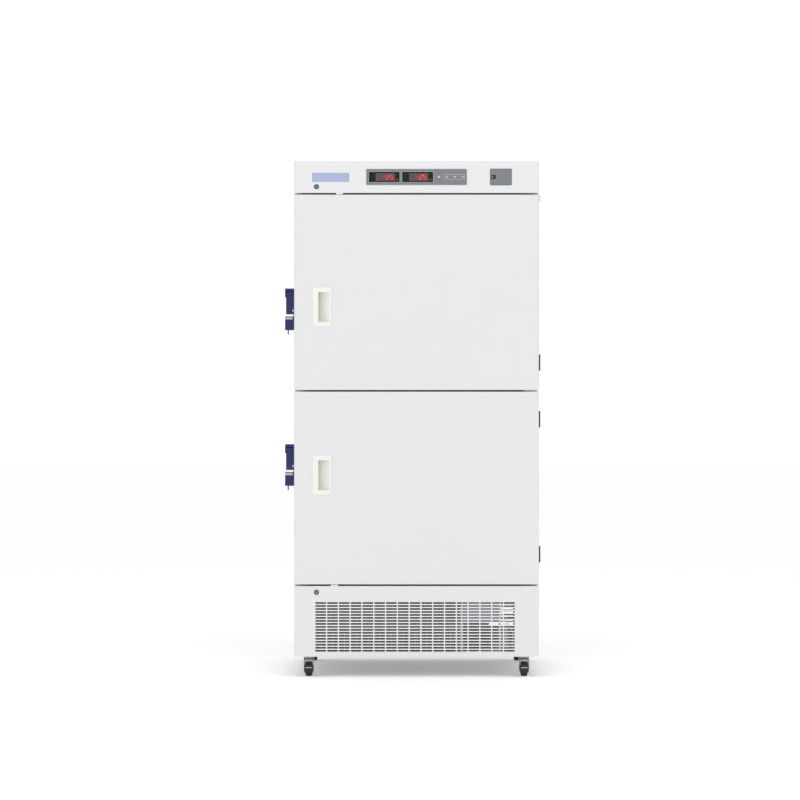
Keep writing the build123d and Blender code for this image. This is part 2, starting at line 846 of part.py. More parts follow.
def door_pull(name):
    """The moulded pull: a flange on the door and a cup with an undercut grip and a ramped foot."""
    x, middle = -side + pull_inset, pull_z[name]
    flange = Pos(x, middle) * RectangleRounded(pull_width, pull_height, pull_corner)
    neck_left = x - pull_width / 2 + pull_grip_frame
    neck_right = x + pull_width / 2 - pull_plain_frame
    low, high = pull_limits(name, 0)
    body = deep(flange, front - pull_proud, front) + pull_body(name, pull_wall)
    body += block((neck_left - pull_wall, neck_right + pull_wall), (front, front + pull_lip), (low - pull_wall, high + pull_wall))
    ramp = pull_deep - pull_lip
    curve_z = low + ramp
    side_view = Pos(pull_lip, curve_z) * Circle(ramp)
    side_view += outline((0, curve_z), (0, high), (pull_deep, high), (pull_deep, curve_z))
    pocket = upward(pull_profile(0), low, high) & across(side_view, -pull_width, pull_width)
    pocket = Pos(x, front, 0) * pocket
    mouth = block((neck_left, neck_right), (front - pull_proud, front + pull_lip), (low, high))
    return body - pocket - mouth


# Hinges

def hinge_leaf_pair(z, role):
    """One leaf of a side hinge centred at z: the door's carries the upper knuckle, the cabinet's the pin."""
    low, high = z - hinge_height / 2, z + hinge_height / 2
    clear = knuckle_radius + knuckle_gap
    corner_z, corner_y = leaf_corner, leaf_corner
    inner, outer = face - clear, face - leaf_depth
    if role == "cabinet":
        inner, outer = face + clear, face + leaf_depth
        corner_y = -corner_y
    plate = outline(
        (inner, low), (outer + corner_y, low), (outer, low + corner_z),
        (outer, high - corner_z), (outer + corner_y, high), (inner, high),
    )
    leaf = across(plate, side, side + hinge_leaf)
    middle_low, middle_high = z - knuckle_gap / 2, z + knuckle_gap / 2
    if role == "cabinet":
        leaf += block((side, side + hinge_leaf), (face, inner), (low, middle_low))
        leaf += octagon_bar(knuckle_radius, (hinge_x, face, low), (hinge_x, face, middle_low))
        return leaf + rod(hinge_pin_radius, (hinge_x, face, middle_low), (hinge_x, face, high - knuckle_gap))
    leaf += block((side, side + hinge_leaf), (inner, face), (middle_high, high))
    leaf += octagon_bar(knuckle_radius, (hinge_x, face, middle_high), (hinge_x, face, high))
    bore = hinge_pin_radius + running_clearance
    return leaf - rod(bore, (hinge_x, face, middle_high), (hinge_x, face, high - knuckle_gap + running_clearance))


def door_hinge_leaves(name):
    """A door's hinge leaves."""
    return group(*[hinge_leaf_pair(z, "door") for z in hinge_z[name]])


def cabinet_hinge_leaves():
    """The cabinet's hinge leaves, with the pins that the doors hang on."""
    return group(*[hinge_leaf_pair(z, "cabinet") for levels in hinge_z.values() for z in levels])


# Latches

pivot_y = door_back - latch_setback
hook_reach = face + keeper_setback - pivot_y
lever_outer = latch_reach - latch_cheek - lever_side_gap
lever_inner = latch_plate + lever_side_gap


def outward(low, high):
    """X limits of a stretch that stands off the latch side of the cabinet."""
    return (-side - high, -side - low)


def latch_block(name, out, y, z):
    """A box given by its stand-off from the door's side and its place about the lever's pivot."""
    middle = latch_z[name]
    return block(outward(*out), (pivot_y + y[0], pivot_y + y[1]), (middle + z[0], middle + z[1]))


def pin_head(half, low, high):
    """The lock pin's square head, or the room for one."""
    x = -side - lock_pin_out
    return block((x - half, x + half), (pivot_y - half, pivot_y + half), (low, high))


def latch_housing(name):
    """The latch's base plate, the hood over the lever's pivot, and the lock block below."""
    half = latch_half_depth
    hood = latch_hood_height
    lock_top, lock_low = -lock_block_drop, -lock_block_drop - lock_block_height
    body = latch_block(name, (latch_plate, latch_reach), (-half, half), (-hood, hood))
    body += latch_block(name, (latch_plate, latch_reach), (-half, half), (lock_low, lock_top))
    outer_edges = body.edges().filter_by(Axis.Z).group_by(Axis.X)[0]
    body = chamfer(outer_edges, latch_edge)
    body += latch_block(name, (0, latch_plate), (-half, half), (lock_low, hood))
    inside = half - latch_wall
    cheek = latch_reach - latch_cheek
    body -= latch_block(name, (latch_plate, cheek), (-inside, inside), (-hood, inside))
    body -= latch_block(name, (latch_plate, cheek), (-half, -inside), (-hood, hood / 3))
    body -= latch_block(name, (latch_plate, cheek), (inside, half), (-hood, hook_tip / 2))
    middle = latch_z[name]
    body += rod(latch_pin_radius, (-side - latch_plate, pivot_y, middle), (-side - cheek, pivot_y, middle))
    band = (lock_top - lock_band_height, lock_top - lock_band_recess)
    body -= latch_block(name, (2 * latch_plate, cheek), (-half, -half + lock_band_recess), band)
    pin_x = -side - lock_pin_out
    body -= rod(lock_pin_radius + running_clearance, (pin_x, pivot_y, middle + lock_low), (pin_x, pivot_y, middle + lock_top))
    seat = middle + lock_top - lock_pin_head_height
    return body - pin_head(lock_pin_head + lever_side_gap, seat, middle + lock_top)


def latch_lever(name):
    """The lever: a round head on the pivot, a bowed grip, and the hook that reaches the keeper."""
    middle = latch_z[name]
    grip = Polyline((lever_rear, 0), (lever_rear, -lever_length), (-lever_front, -lever_length))
    grip += ThreePointArc(
        (-lever_front, -lever_length), (-lever_front - lever_bulge, -lever_length / 2), (-lever_front, 0)
    )
    grip += Line((-lever_front, 0), (lever_rear, 0))
    stem = make_face(grip) + Circle(lever_head_radius)
    lever = across(Pos(pivot_y, middle) * stem, *outward(lever_inner, lever_outer))
    under = -keeper_drop - keeper_radius - 2 * hook_clearance
    tip = hook_reach + keeper_radius + hook_clearance
    hook = outline(
        (0, 0), (0, -lever_head_radius), (lever_rear, under - hook_thickness), (tip, under - hook_thickness),
        (tip + hook_tip, under - hook_tip), (tip + hook_tip, -keeper_drop + keeper_radius),
        (tip, -keeper_drop + keeper_radius), (tip, under), (lever_head_radius, under),
    )
    lever += across(Pos(pivot_y, middle) * hook, *outward(lever_inner + hook_inset, lever_inner + hook_inset + hook_width))
    bore = latch_pin_radius + running_clearance
    lever -= rod(bore, (-side - lever_inner, pivot_y, middle), (-side - lever_outer, pivot_y, middle))
    notch_z = middle - lever_notch_drop
    notch_x = -side - lever_inner
    lever -= block(
        (notch_x - lever_notch, notch_x + lever_notch), (pivot_y - 2 * lever_front, pivot_y + 2 * lever_rear),
        (notch_z - lever_notch, notch_z + lever_notch),
    )
    foot = middle - lever_length
    return lever - pin_head(lock_pin_head + lever_side_gap, foot, foot + lock_pin_head_height + hook_clearance)


def lock_pin(name):
    """The pin that pushes up through the lock block into the lever's foot."""
    top = latch_z[name] - lock_block_drop
    x = -side - lock_pin_out
    seat = top - lock_pin_head_height
    return pin_head(lock_pin_head, seat, top) + rod(lock_pin_radius, (x, pivot_y, top - lock_block_height - lock_pin_tail), (x, pivot_y, seat))


def latch_keepers():
    """The cabinet's headed keeper pins, each on a small plate."""
    keepers = []
    for name in doors:
        middle = latch_z[name] - keeper_drop
        y = face + keeper_setback
        plate_y = (face + lever_side_gap, face + 2 * keeper_setback)
        plate_z = (middle - keeper_plate_height / 2, middle + keeper_plate_height / 2)
        keeper = block(outward(0, latch_plate), plate_y, plate_z)
        head_out = lever_inner + hook_inset + hook_width + hook_clearance
        keeper += rod(keeper_radius, (-side - latch_plate, y, middle), (-side - head_out, y, middle))
        keeper += octagon_bar(keeper_head, (-side - head_out, y, middle), (-side - head_out - latch_plate, y, middle))
        keepers.append(keeper)
    return group(*keepers)


# Machine room

box_right = inner_side - box_inset
box_left = box_right - box_width
condenser_left = -inner_side + condenser_inset
condenser_right = box_left - box_gap
coil_header_x = (
    condenser_left + end_plate + 2 * coil_header_radius,
    condenser_right - end_plate - 2 * coil_header_radius,
)
fan_x = (condenser_left + condenser_right) / 2
condenser_low = tray_top + condenser_rise
condenser_high = condenser_low + condenser_height
condenser_front = front + condenser_setback
condenser_back = condenser_front + condenser_depth
fan_y = condenser_back + shroud_depth
fan_z = (condenser_low + condenser_high) / 2
coil_y = (condenser_front + condenser_back) / 2
compressor_x = coil_header_x[1] + compressor_radius / 2
compressor_y = back - compressor_setback


def condenser_coil():
    """The condenser: end plates that stand on the tray, upright headers, flat tubes and fins."""
    depth = (condenser_front, condenser_back)
    coil = Part()
    for x in (condenser_left, condenser_right - end_plate):
        coil += block((x, x + end_plate), depth, (rail_top, condenser_high))
    for x in coil_header_x:
        coil += rod(coil_header_radius, (x, coil_y, condenser_low), (x, coil_y, condenser_high))
    first = coil_header_x[0] + coil_header_radius
    pitch = (coil_header_x[1] - coil_header_radius - first) / (fin_count + 1)
    for index in range(fin_count):
        x = first + pitch * (index + 1)
        coil += block((x - fin_sheet / 2, x + fin_sheet / 2), depth, (condenser_low, condenser_high))
    tube_y = (coil_y - flat_tube_depth / 2, coil_y + flat_tube_depth / 2)
    for row in range(tube_rows):
        z = condenser_low + condenser_height * (row + 0.5) / tube_rows
        tube_z = (z - flat_tube_height / 2, z + flat_tube_height / 2)
        coil += block((condenser_left, condenser_right), tube_y, tube_z)
    return coil


def fan_shroud():
    """The duct behind the condenser, with the fan's ring."""
    duct_y = (condenser_back, fan_y)
    shroud = block((condenser_left, condenser_right), duct_y, (condenser_low, condenser_high))
    inner_x = (condenser_left + shroud_sheet, condenser_right - shroud_sheet)
    inner_z = (condenser_low + shroud_sheet, condenser_high - shroud_sheet)
    shroud -= block(inner_x, (condenser_back, fan_y - shroud_sheet), inner_z)
    ring = fan_radius + fan_clearance
    start, end = (fan_x, fan_y - shroud_sheet, fan_z), (fan_x, fan_y + fan_hub_length / 2, fan_z)
    return shroud + rod(ring + shroud_sheet, start, end) - rod(ring, start, end)


def fan_blade():
    """The fan: a hub bored for the shaft, and pitched blades."""
    start, end = fan_y - fan_hub_length / 2, fan_y + fan_hub_length / 2
    fan = rod(fan_hub_radius, (fan_x, start, fan_z), (fan_x, end - sheet, fan_z))
    root = fan_hub_radius * 0.75
    tip = (fan_radius**2 - (blade_chord / 2) ** 2) ** 0.5
    for index in range(fan_blades):
        blade = Pos(0, 0, (root + tip) / 2) * Rot(0, 0, blade_pitch) * Box(blade_chord, blade_sheet, tip - root)
        fan += Pos(fan_x, fan_y, fan_z) * Rot(0, index * 360 / fan_blades, 0) * blade
    return fan - rod(motor_shaft_radius + running_clearance, (fan_x, start, fan_z), (fan_x, end, fan_z))


def fan_motor():
    """The fan's motor, its shaft, and the cross arm that carries it on the shroud."""
    shaft_start = fan_y - fan_hub_length / 2
    body_start = fan_y + fan_hub_length / 2 + motor_gap
    motor = rod(motor_radius, (fan_x, body_start, fan_z), (fan_x, body_start + motor_length, fan_z))
    motor += rod(motor_shaft_radius, (fan_x, shaft_start, fan_z), (fan_x, body_start, fan_z))
    reach = fan_radius + fan_clearance + 2 * motor_arm
    arm_y = (body_start, body_start + 2 * shroud_sheet)
    arm_z = (fan_z - motor_arm / 2, fan_z + motor_arm / 2)
    motor += block((fan_x - reach, fan_x + reach), arm_y, arm_z)
    for hand in (-1, 1):
        foot = sorted((fan_x + hand * reach, fan_x + hand * (reach - 2 * shroud_sheet)))
        motor += block(foot, (fan_y, body_start), arm_z)
    return motor


def compressor():
    """The hermetic compressor on its plate and rubber pads."""
    plate_z = tray_top + compressor_foot
    low = plate_z + compressor_plate
    high = low + compressor_height
    r, dome = compressor_radius, compressor_dome
    profile = outline((0, low), (r - dome, low), (r, low + dome), (r, high - dome), (r - dome, high), (0, high))
    place = Pos(compressor_x, compressor_y, 0)
    shell = place * revolve(Plane.XZ * profile, Axis.Z)
    half = compressor_radius + grommet_width / 4
    shell += place * block((-half, half), (-half, half), (plate_z, low))
    for pad in GridLocations(2 * half - grommet_width, 2 * half - grommet_width, 2, 2):
        shell += place * pad * upward(Rectangle(grommet_width, grommet_width), tray_top, plate_z)
    return shell


def electrical_box():
    """The relay box on its bracket, with a lid lip."""
    low = tray_top + box_rise
    x_span = (box_left, box_right)
    y_span = (condenser_front, condenser_front + box_depth)
    box = block(x_span, y_span, (low, low + box_height))
    lip = 2 * sheet
    box += block((x_span[0] - lip, x_span[1] + lip), (y_span[0] - lip, y_span[0] + lip), (low - lip, low + box_height + lip))
    for x in (x_span[0], x_span[1] - tray_sheet):
        box += block((x, x + tray_sheet), (y_span[1] - 2 * drier_radius, y_span[1]), (rail_top, low))
    return box


def pipe(points):
    """A copper line along straight runs, turned at each corner in two half steps."""
    turns = [Vector(*point) for point in points]
    stops = [turns[0]]
    for before, corner, after in zip(turns, turns[1:], turns[2:]):
        stops.append(corner + (before - corner).normalized() * line_bend)
        stops.append(corner + (after - corner).normalized() * line_bend)
    path = Polyline(*stops, turns[-1])
    return sweep(Plane(path @ 0, z_dir=path % 0) * Circle(line_radius), path, transition=Transition.RIGHT)


def refrigerant_lines():
    """The discharge and suction lines of the compressor, and the liquid line with its drier."""
    shell_top = tray_top + compressor_foot + compressor_plate + compressor_height
    rise = (shell_top + foam_bottom) / 2
    inlet = coil_header_x[1]
    discharge = pipe([
        (inlet, compressor_y, shell_top), (inlet, compressor_y, rise),
        (inlet, coil_y, rise), (inlet, coil_y, condenser_high),
    ])
    suction_x = compressor_x + compressor_radius / 2
    suction = rod(line_radius, (suction_x, compressor_y, shell_top), (suction_x, compressor_y, foam_bottom))
    low_pass = condenser_low + condenser_height * 0.5 / tube_rows
    drier_x, drier_y = condenser_left - 2 * line_bend, condenser_back + 2 * drier_radius
    drier_low = low_pass + 2 * line_bend
    drier_high = drier_low + drier_length
    liquid = pipe([
        (condenser_left, coil_y, low_pass), (drier_x, coil_y, low_pass),
        (drier_x, drier_y, low_pass), (drier_x, drier_y, drier_low),
    ])
    liquid += rod(drier_radius, (drier_x, drier_y, drier_low), (drier_x, drier_y, drier_high))
    liquid += rod(line_radius, (drier_x, drier_y, drier_high), (drier_x, drier_y, foam_bottom))
    return group(discharge, suction, liquid)


# Casters

wheel_radius = wheel_diameter / 2
fork_half = wheel_width / 2 + wheel_side_gap
crown_low = wheel_diameter + crown_gap
crown_high = crown_low + fork_crown


def caster_rows():
    """Where the front and rear pairs of casters stand."""
    return [front + caster_from_front, back - caster_from_back]


casters = {
    "front_left": (-side + caster_from_side, caster_rows()[0]),
    "front_right": (side - caster_from_side, caster_rows()[0]),
    "rear_left": (-side + caster_from_side, caster_rows()[1]),
    "rear_right": (side - caster_from_side, caster_rows()[1]),
}


def caster_plates():
    """The four top plates with their swivel cups."""
    plates = []
    for x, y in casters.values():
        half_x, half_y = caster_plate_width / 2, caster_plate_length / 2
        plate = block((x - half_x, x + half_x), (y - half_y, y + half_y), (base_bottom - caster_plate, base_bottom))
        cup_low = crown_high + swivel_gap
        plate += rod(cup_radius, (x, y, cup_low), (x, y, base_bottom - caster_plate))
        bore = swivel_radius + running_clearance
        plates.append(plate - rod(bore, (x, y, cup_low), (x, y, base_bottom - caster_plate)))
    return group(*plates)


def pedal_pin_place(y):
    """Where a brake pedal's pin lies, above and ahead of the axle."""
    angle = radians(pedal_pin_angle)
    axle_y = y - caster_trail
    return (axle_y - pedal_pin_reach * cos(angle), wheel_radius + pedal_pin_reach * sin(angle))


def caster_fork(name):
    """A swivel fork: crown, two legs, the axle, and on a front caster the pedal's pin."""
    x, y = casters[name]
    axle_y = y - caster_trail
    pin_y, pin_z = pedal_pin_place(y)
    toe, heel, tip = pin_y - pedal_knuckle, y + crown_half, axle_boss / 2
    leg = outline(
        (toe, pin_z - pedal_knuckle), (toe, crown_high), (heel, crown_high), (heel, crown_low),
        (axle_y + axle_boss, wheel_radius), (axle_y + tip, wheel_radius - axle_boss),
        (axle_y - tip, wheel_radius - axle_boss), (axle_y - axle_boss, wheel_radius),
    )
    fork = across(leg, x - fork_half - fork_leg, x - fork_half)
    fork += across(leg, x + fork_half, x + fork_half + fork_leg)
    fork += block((x - fork_half, x + fork_half), (pin_y + pedal_knuckle / 2, heel), (crown_low, crown_high))
    fork += rod(axle_radius, (x - fork_half, axle_y, wheel_radius), (x + fork_half, axle_y, wheel_radius))
    fork += rod(swivel_radius, (x, y, crown_high), (x, y, base_bottom - caster_plate - swivel_gap))
    if name.startswith("front"):
        fork += rod(pedal_pin_radius, (x - fork_half, pin_y, pin_z), (x + fork_half, pin_y, pin_z))
    return fork


def caster_wheel(name):
    """A caster wheel bored for its axle."""
    x, y = casters[name]
    axle = (y - caster_trail, wheel_radius)
    start, end = (x - wheel_width / 2, *axle), (x + wheel_width / 2, *axle)
    return rod(wheel_radius, start, end) - rod(axle_radius + running_clearance, start, end)


def brake_pedal(name):
    """A brake pedal hung on its pin, bent down ahead of the tread."""
    x, y = casters[name]
    axle = (y - caster_trail, wheel_radius)
    pin_y, pin_z = pedal_pin_place(y)
    inner, outer = wheel_radius + pedal_gap, wheel_radius + pedal_gap + pedal_sheet

    def bend_point(radius, degrees):
        return (axle[0] - radius * cos(radians(degrees)), axle[1] + radius * sin(radians(degrees)))

    def bent_strip(*bends):
        inside = [bend_point(inner, degrees) for degrees in bends]
        outside = [bend_point(outer, degrees) for degrees in reversed(bends)]
        return outline(*inside, *outside)

    tongue = bent_strip(pedal_pin_angle, pedal_start) + Pos(pin_y, pin_z) * RegularPolygon(pedal_knuckle, 8)
    half = wheel_width / 2
    pedal = across(tongue, x - half, x + half)
    tread = bent_strip(pedal_start, (pedal_start + pedal_end) / 2, pedal_end)
    pedal += across(tread, x - pedal_width / 2, x + pedal_width / 2)
    bore = pedal_pin_radius + running_clearance
    return pedal - rod(bore, (x - half, pin_y, pin_z), (x + half, pin_y, pin_z))


def all_parts():
    """Every sub-part by its name."""
    parts = {
        "outer_case": outer_case(),
        "back_panel": back_panel(),
        "insulation": insulation(),
        "chamber_liners": chamber_liners(),
        "front_frame": front_frame(),
        "evaporator_shelves": evaporator_shelves(),
        "base_chassis": base_chassis(),
        "base_front_panel": base_front_panel(),
        "rear_service_cover": rear_service_cover(),
        "header_fascia": header_fascia(),
        "control_bezel": control_bezel(),
        "display_windows": display_windows(),
        "controller_board": controller_board(),
        "power_plate": power_plate(),
        "power_rocker": rocker(),
        "lock_barrels": lock_barrels(),
        "latch_keepers": latch_keepers(),
        "cabinet_hinge_leaves": cabinet_hinge_leaves(),
        "condenser_coil": condenser_coil(),
        "fan_shroud": fan_shroud(),
        "fan_motor": fan_motor(),
        "fan_blade": fan_blade(),
        "compressor": compressor(),
        "electrical_box": electrical_box(),
        "refrigerant_lines": refrigerant_lines(),
        "caster_plates": caster_plates(),
    }
    for index in range(button_count):
        parts[f"control_button_{index + 1}"] = button(index)
    for name in lock_z:
        parts[f"{name}_lock_plug"] = lock_plug(name)
    for name in doors:
        parts[f"{name}_door_skin"] = door_skin(name)
        parts[f"{name}_door_foam"] = door_foam(name)
        parts[f"{name}_door_liner"] = door_liner(name)
        parts[f"{name}_door_gasket"] = gasket(name)
        parts[f"{name}_door_pull"] = door_pull(name)
        parts[f"{name}_door_hinge_leaves"] = door_hinge_leaves(name)
        parts[f"{name}_latch_housing"] = latch_housing(name)
        parts[f"{name}_latch_lever"] = latch_lever(name)
        parts[f"{name}_lock_pin"] = lock_pin(name)
    for name in casters:
        parts[f"{name}_fork"] = caster_fork(name)
        parts[f"{name}_wheel"] = caster_wheel(name)
        if name.startswith("front"):
            parts[f"{name}_pedal"] = brake_pedal(name)
    return parts


os.makedirs("parts", exist_ok=True)
for part_name, shape in all_parts().items():
    export_step(shape, f"parts/{part_name}.step")
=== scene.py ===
"""Looks of a two-door laboratory freezer: its finishes, dressed pieces, small fittings and studio."""

from __future__ import annotations

import json
import logging
from dataclasses import dataclass, field
from enum import Enum
from math import pi, radians, tan

import bmesh
import bpy
from mathutils import Matrix, Vector

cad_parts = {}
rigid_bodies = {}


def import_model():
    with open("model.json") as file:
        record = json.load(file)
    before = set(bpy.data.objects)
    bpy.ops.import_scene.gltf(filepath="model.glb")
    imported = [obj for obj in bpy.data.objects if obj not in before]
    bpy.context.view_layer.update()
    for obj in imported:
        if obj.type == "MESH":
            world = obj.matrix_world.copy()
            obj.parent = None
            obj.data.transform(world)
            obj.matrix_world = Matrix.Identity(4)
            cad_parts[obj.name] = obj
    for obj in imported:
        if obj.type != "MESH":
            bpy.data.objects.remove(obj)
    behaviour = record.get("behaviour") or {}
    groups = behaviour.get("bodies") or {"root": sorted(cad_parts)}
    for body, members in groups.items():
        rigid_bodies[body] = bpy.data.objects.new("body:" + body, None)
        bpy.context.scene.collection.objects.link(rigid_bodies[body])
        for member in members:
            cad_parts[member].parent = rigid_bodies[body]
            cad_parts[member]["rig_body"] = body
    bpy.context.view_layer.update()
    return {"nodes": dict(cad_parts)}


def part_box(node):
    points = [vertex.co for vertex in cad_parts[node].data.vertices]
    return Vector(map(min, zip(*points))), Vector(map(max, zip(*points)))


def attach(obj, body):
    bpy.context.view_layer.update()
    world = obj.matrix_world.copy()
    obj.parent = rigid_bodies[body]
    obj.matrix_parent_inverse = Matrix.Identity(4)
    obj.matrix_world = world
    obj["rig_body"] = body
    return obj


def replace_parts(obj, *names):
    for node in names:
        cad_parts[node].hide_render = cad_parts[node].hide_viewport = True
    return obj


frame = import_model()

MM = 0.001
LOG = logging.getLogger("freezer")

Point = tuple[float, float, float]
Pair = tuple[float, float]
Color = tuple[float, float, float]


def tint(code: str) -> Color:
    """Turn a screen colour into the linear one that a shader reads.

    Args:
        code: Six hexadecimal digits, two each for red, green and blue.

    Returns:
        The three linear shares.
    """
    shares = [int(code[place:place + 2], 16) / 255 for place in (0, 2, 4)]
    return tuple(share / 12.92 if share < 0.04 else ((share + 0.055) / 1.055) ** 2.4 for share in shares)


def span(node: str) -> tuple[Vector, Vector]:
    """The lowest and highest corners of a CAD node, in millimetres."""
    low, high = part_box(node)
    return low / MM, high / MM


def body_of(node: str) -> str:
    """The body that carries a CAD node."""
    return frame["nodes"][node]["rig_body"]


class Grain(Enum):
    """Surface grains: a grain's size and height, in millimetres, and its stretch along X, Y and Z."""

    ENAMEL = (2.2, 0.006, (1.0, 1.0, 1.0))
    MOULDED = (0.45, 0.012, (1.0, 1.0, 1.0))
    SATIN = (0.9, 0.006, (1.0, 1.0, 1.0))
    BRUSHED_ACROSS = (0.5, 0.006, (0.03, 1.0, 1.0))
    BRUSHED_UP = (0.5, 0.006, (1.0, 1.0, 0.03))
    SPANGLE = (14.0, 0.004, (1.0, 1.0, 1.0))
    CAST = (1.3, 0.03, (1.0, 1.0, 1.0))
    FOAM = (1.8, 0.15, (1.0, 1.0, 1.0))


class Pattern:
    """Shader node groups that several finishes share, each built once."""

    made: dict[str, bpy.types.NodeTree] = {}

    @classmethod
    def _group(cls, name: str, inputs: dict[str, str], outputs: dict[str, str]) -> bpy.types.NodeTree:
        """Start a node group.

        Args:
            name: The group's name.
            inputs: Socket types by socket name.
            outputs: Socket types by socket name.

        Returns:
            The empty group, with its input and output nodes.
        """
        tree = bpy.data.node_groups.new(name, "ShaderNodeTree")
        for label, kind in inputs.items():
            tree.interface.new_socket(label, in_out="INPUT", socket_type=kind)
        for label, kind in outputs.items():
            tree.interface.new_socket(label, in_out="OUTPUT", socket_type=kind)
        tree.nodes.new("NodeGroupInput")
        tree.nodes.new("NodeGroupOutput")
        cls.made[name] = tree
        return tree

    @classmethod
    def surface(cls) -> bpy.types.NodeTree:
        """The group for a sprayed, moulded or drawn surface.

        Returns:
            A group that puts out a mottled colour, an uneven roughness and a grain height.
        """
        if "surface" in cls.made:
            return cls.made["surface"]
        number, colour, vector = "NodeSocketFloat", "NodeSocketColor", "NodeSocketVector"
        tree = cls._group(
            "surface",
            {"Vector": vector, "Stretch": vector, "Color": colour, "Mottle": number,
             "Roughness": number, "Unevenness": number, "Grain": number},
            {"Color": colour, "Roughness": number, "Height": number},
        )
        nodes, links = tree.nodes, tree.links
        entry, leave = nodes["Group Input"], nodes["Group Output"]
        stretch = nodes.new("ShaderNodeVectorMath")
        stretch.operation = "MULTIPLY"
        links.new(entry.outputs["Vector"], stretch.inputs[0])
        links.new(entry.outputs["Stretch"], stretch.inputs[1])
        cloud = nodes.new("ShaderNodeTexNoise")
        cloud.inputs["Scale"].default_value = 9.0
        cloud.inputs["Detail"].default_value = 3.0
        links.new(entry.outputs["Vector"], cloud.inputs["Vector"])
        grain = nodes.new("ShaderNodeTexNoise")
        grain.inputs["Detail"].default_value = 2.0
        links.new(stretch.outputs[0], grain.inputs["Vector"])
        links.new(entry.outputs["Grain"], grain.inputs["Scale"])
        both = nodes.new("ShaderNodeMath")
        both.operation = "ADD"
        links.new(cloud.outputs["Fac"], both.inputs[0])
        links.new(grain.outputs["Fac"], both.inputs[1])
        swing = nodes.new("ShaderNodeMapRange")
        swing.inputs["From Min"].default_value = 0.6
        swing.inputs["From Max"].default_value = 1.4
        swing.inputs["To Min"].default_value = -1.0
        swing.inputs["To Max"].default_value = 1.0
        links.new(both.outputs[0], swing.inputs["Value"])
        for amount, base, result in (("Mottle", "Color", "Color"), ("Unevenness", "Roughness", "Roughness")):
            gain = nodes.new("ShaderNodeMath")
            gain.operation = "MULTIPLY_ADD"
            gain.inputs[2].default_value = 1.0
            links.new(swing.outputs[0], gain.inputs[0])
            links.new(entry.outputs[amount], gain.inputs[1])
            scale = nodes.new("ShaderNodeVectorMath")
            scale.operation = "SCALE"
            links.new(entry.outputs[base], scale.inputs[0])
            links.new(gain.outputs[0], scale.inputs["Scale"])
            links.new(scale.outputs[0], leave.inputs[result])
        links.new(grain.outputs["Fac"], leave.inputs["Height"])
        return tree

    @classmethod
    def settled(cls) -> bpy.types.NodeTree:
        """The group for fine dust that settles on faces that look up.

        Returns:
            A group that puts out the colour with dust over it.
        """
        if "settled" in cls.made:
            return cls.made["settled"]
        tree = cls._group(
            "settled",
            {"Vector": "NodeSocketVector", "Color": "NodeSocketColor", "Dust": "NodeSocketColor",
             "Amount": "NodeSocketFloat"},
            {"Color": "NodeSocketColor"},
        )
        nodes, links = tree.nodes, tree.links
        entry, leave = nodes["Group Input"], nodes["Group Output"]
        facing = nodes.new("ShaderNodeNewGeometry")
        split = nodes.new("ShaderNodeSeparateXYZ")
        links.new(facing.outputs["Normal"], split.inputs[0])
        patch = nodes.new("ShaderNodeTexNoise")
        patch.inputs["Scale"].default_value = 40.0
        patch.inputs["Detail"].default_value = 4.0
        links.new(entry.outputs["Vector"], patch.inputs["Vector"])
        up = nodes.new("ShaderNodeMath")
        up.operation = "MULTIPLY"
        up.use_clamp = True
        links.new(split.outputs["Z"], up.inputs[0])
        links.new(patch.outputs["Fac"], up.inputs[1])
        share = nodes.new("ShaderNodeMath")
        share.operation = "MULTIPLY"
        share.use_clamp = True
        links.new(up.outputs[0], share.inputs[0])
        links.new(entry.outputs["Amount"], share.inputs[1])
        blend = nodes.new("ShaderNodeMix")
        blend.data_type = "RGBA"
        links.new(share.outputs[0], blend.inputs[0])
        links.new(entry.outputs["Color"], blend.inputs[6])
        links.new(entry.outputs["Dust"], blend.inputs[7])
        links.new(blend.outputs[2], leave.inputs["Color"])
        return tree


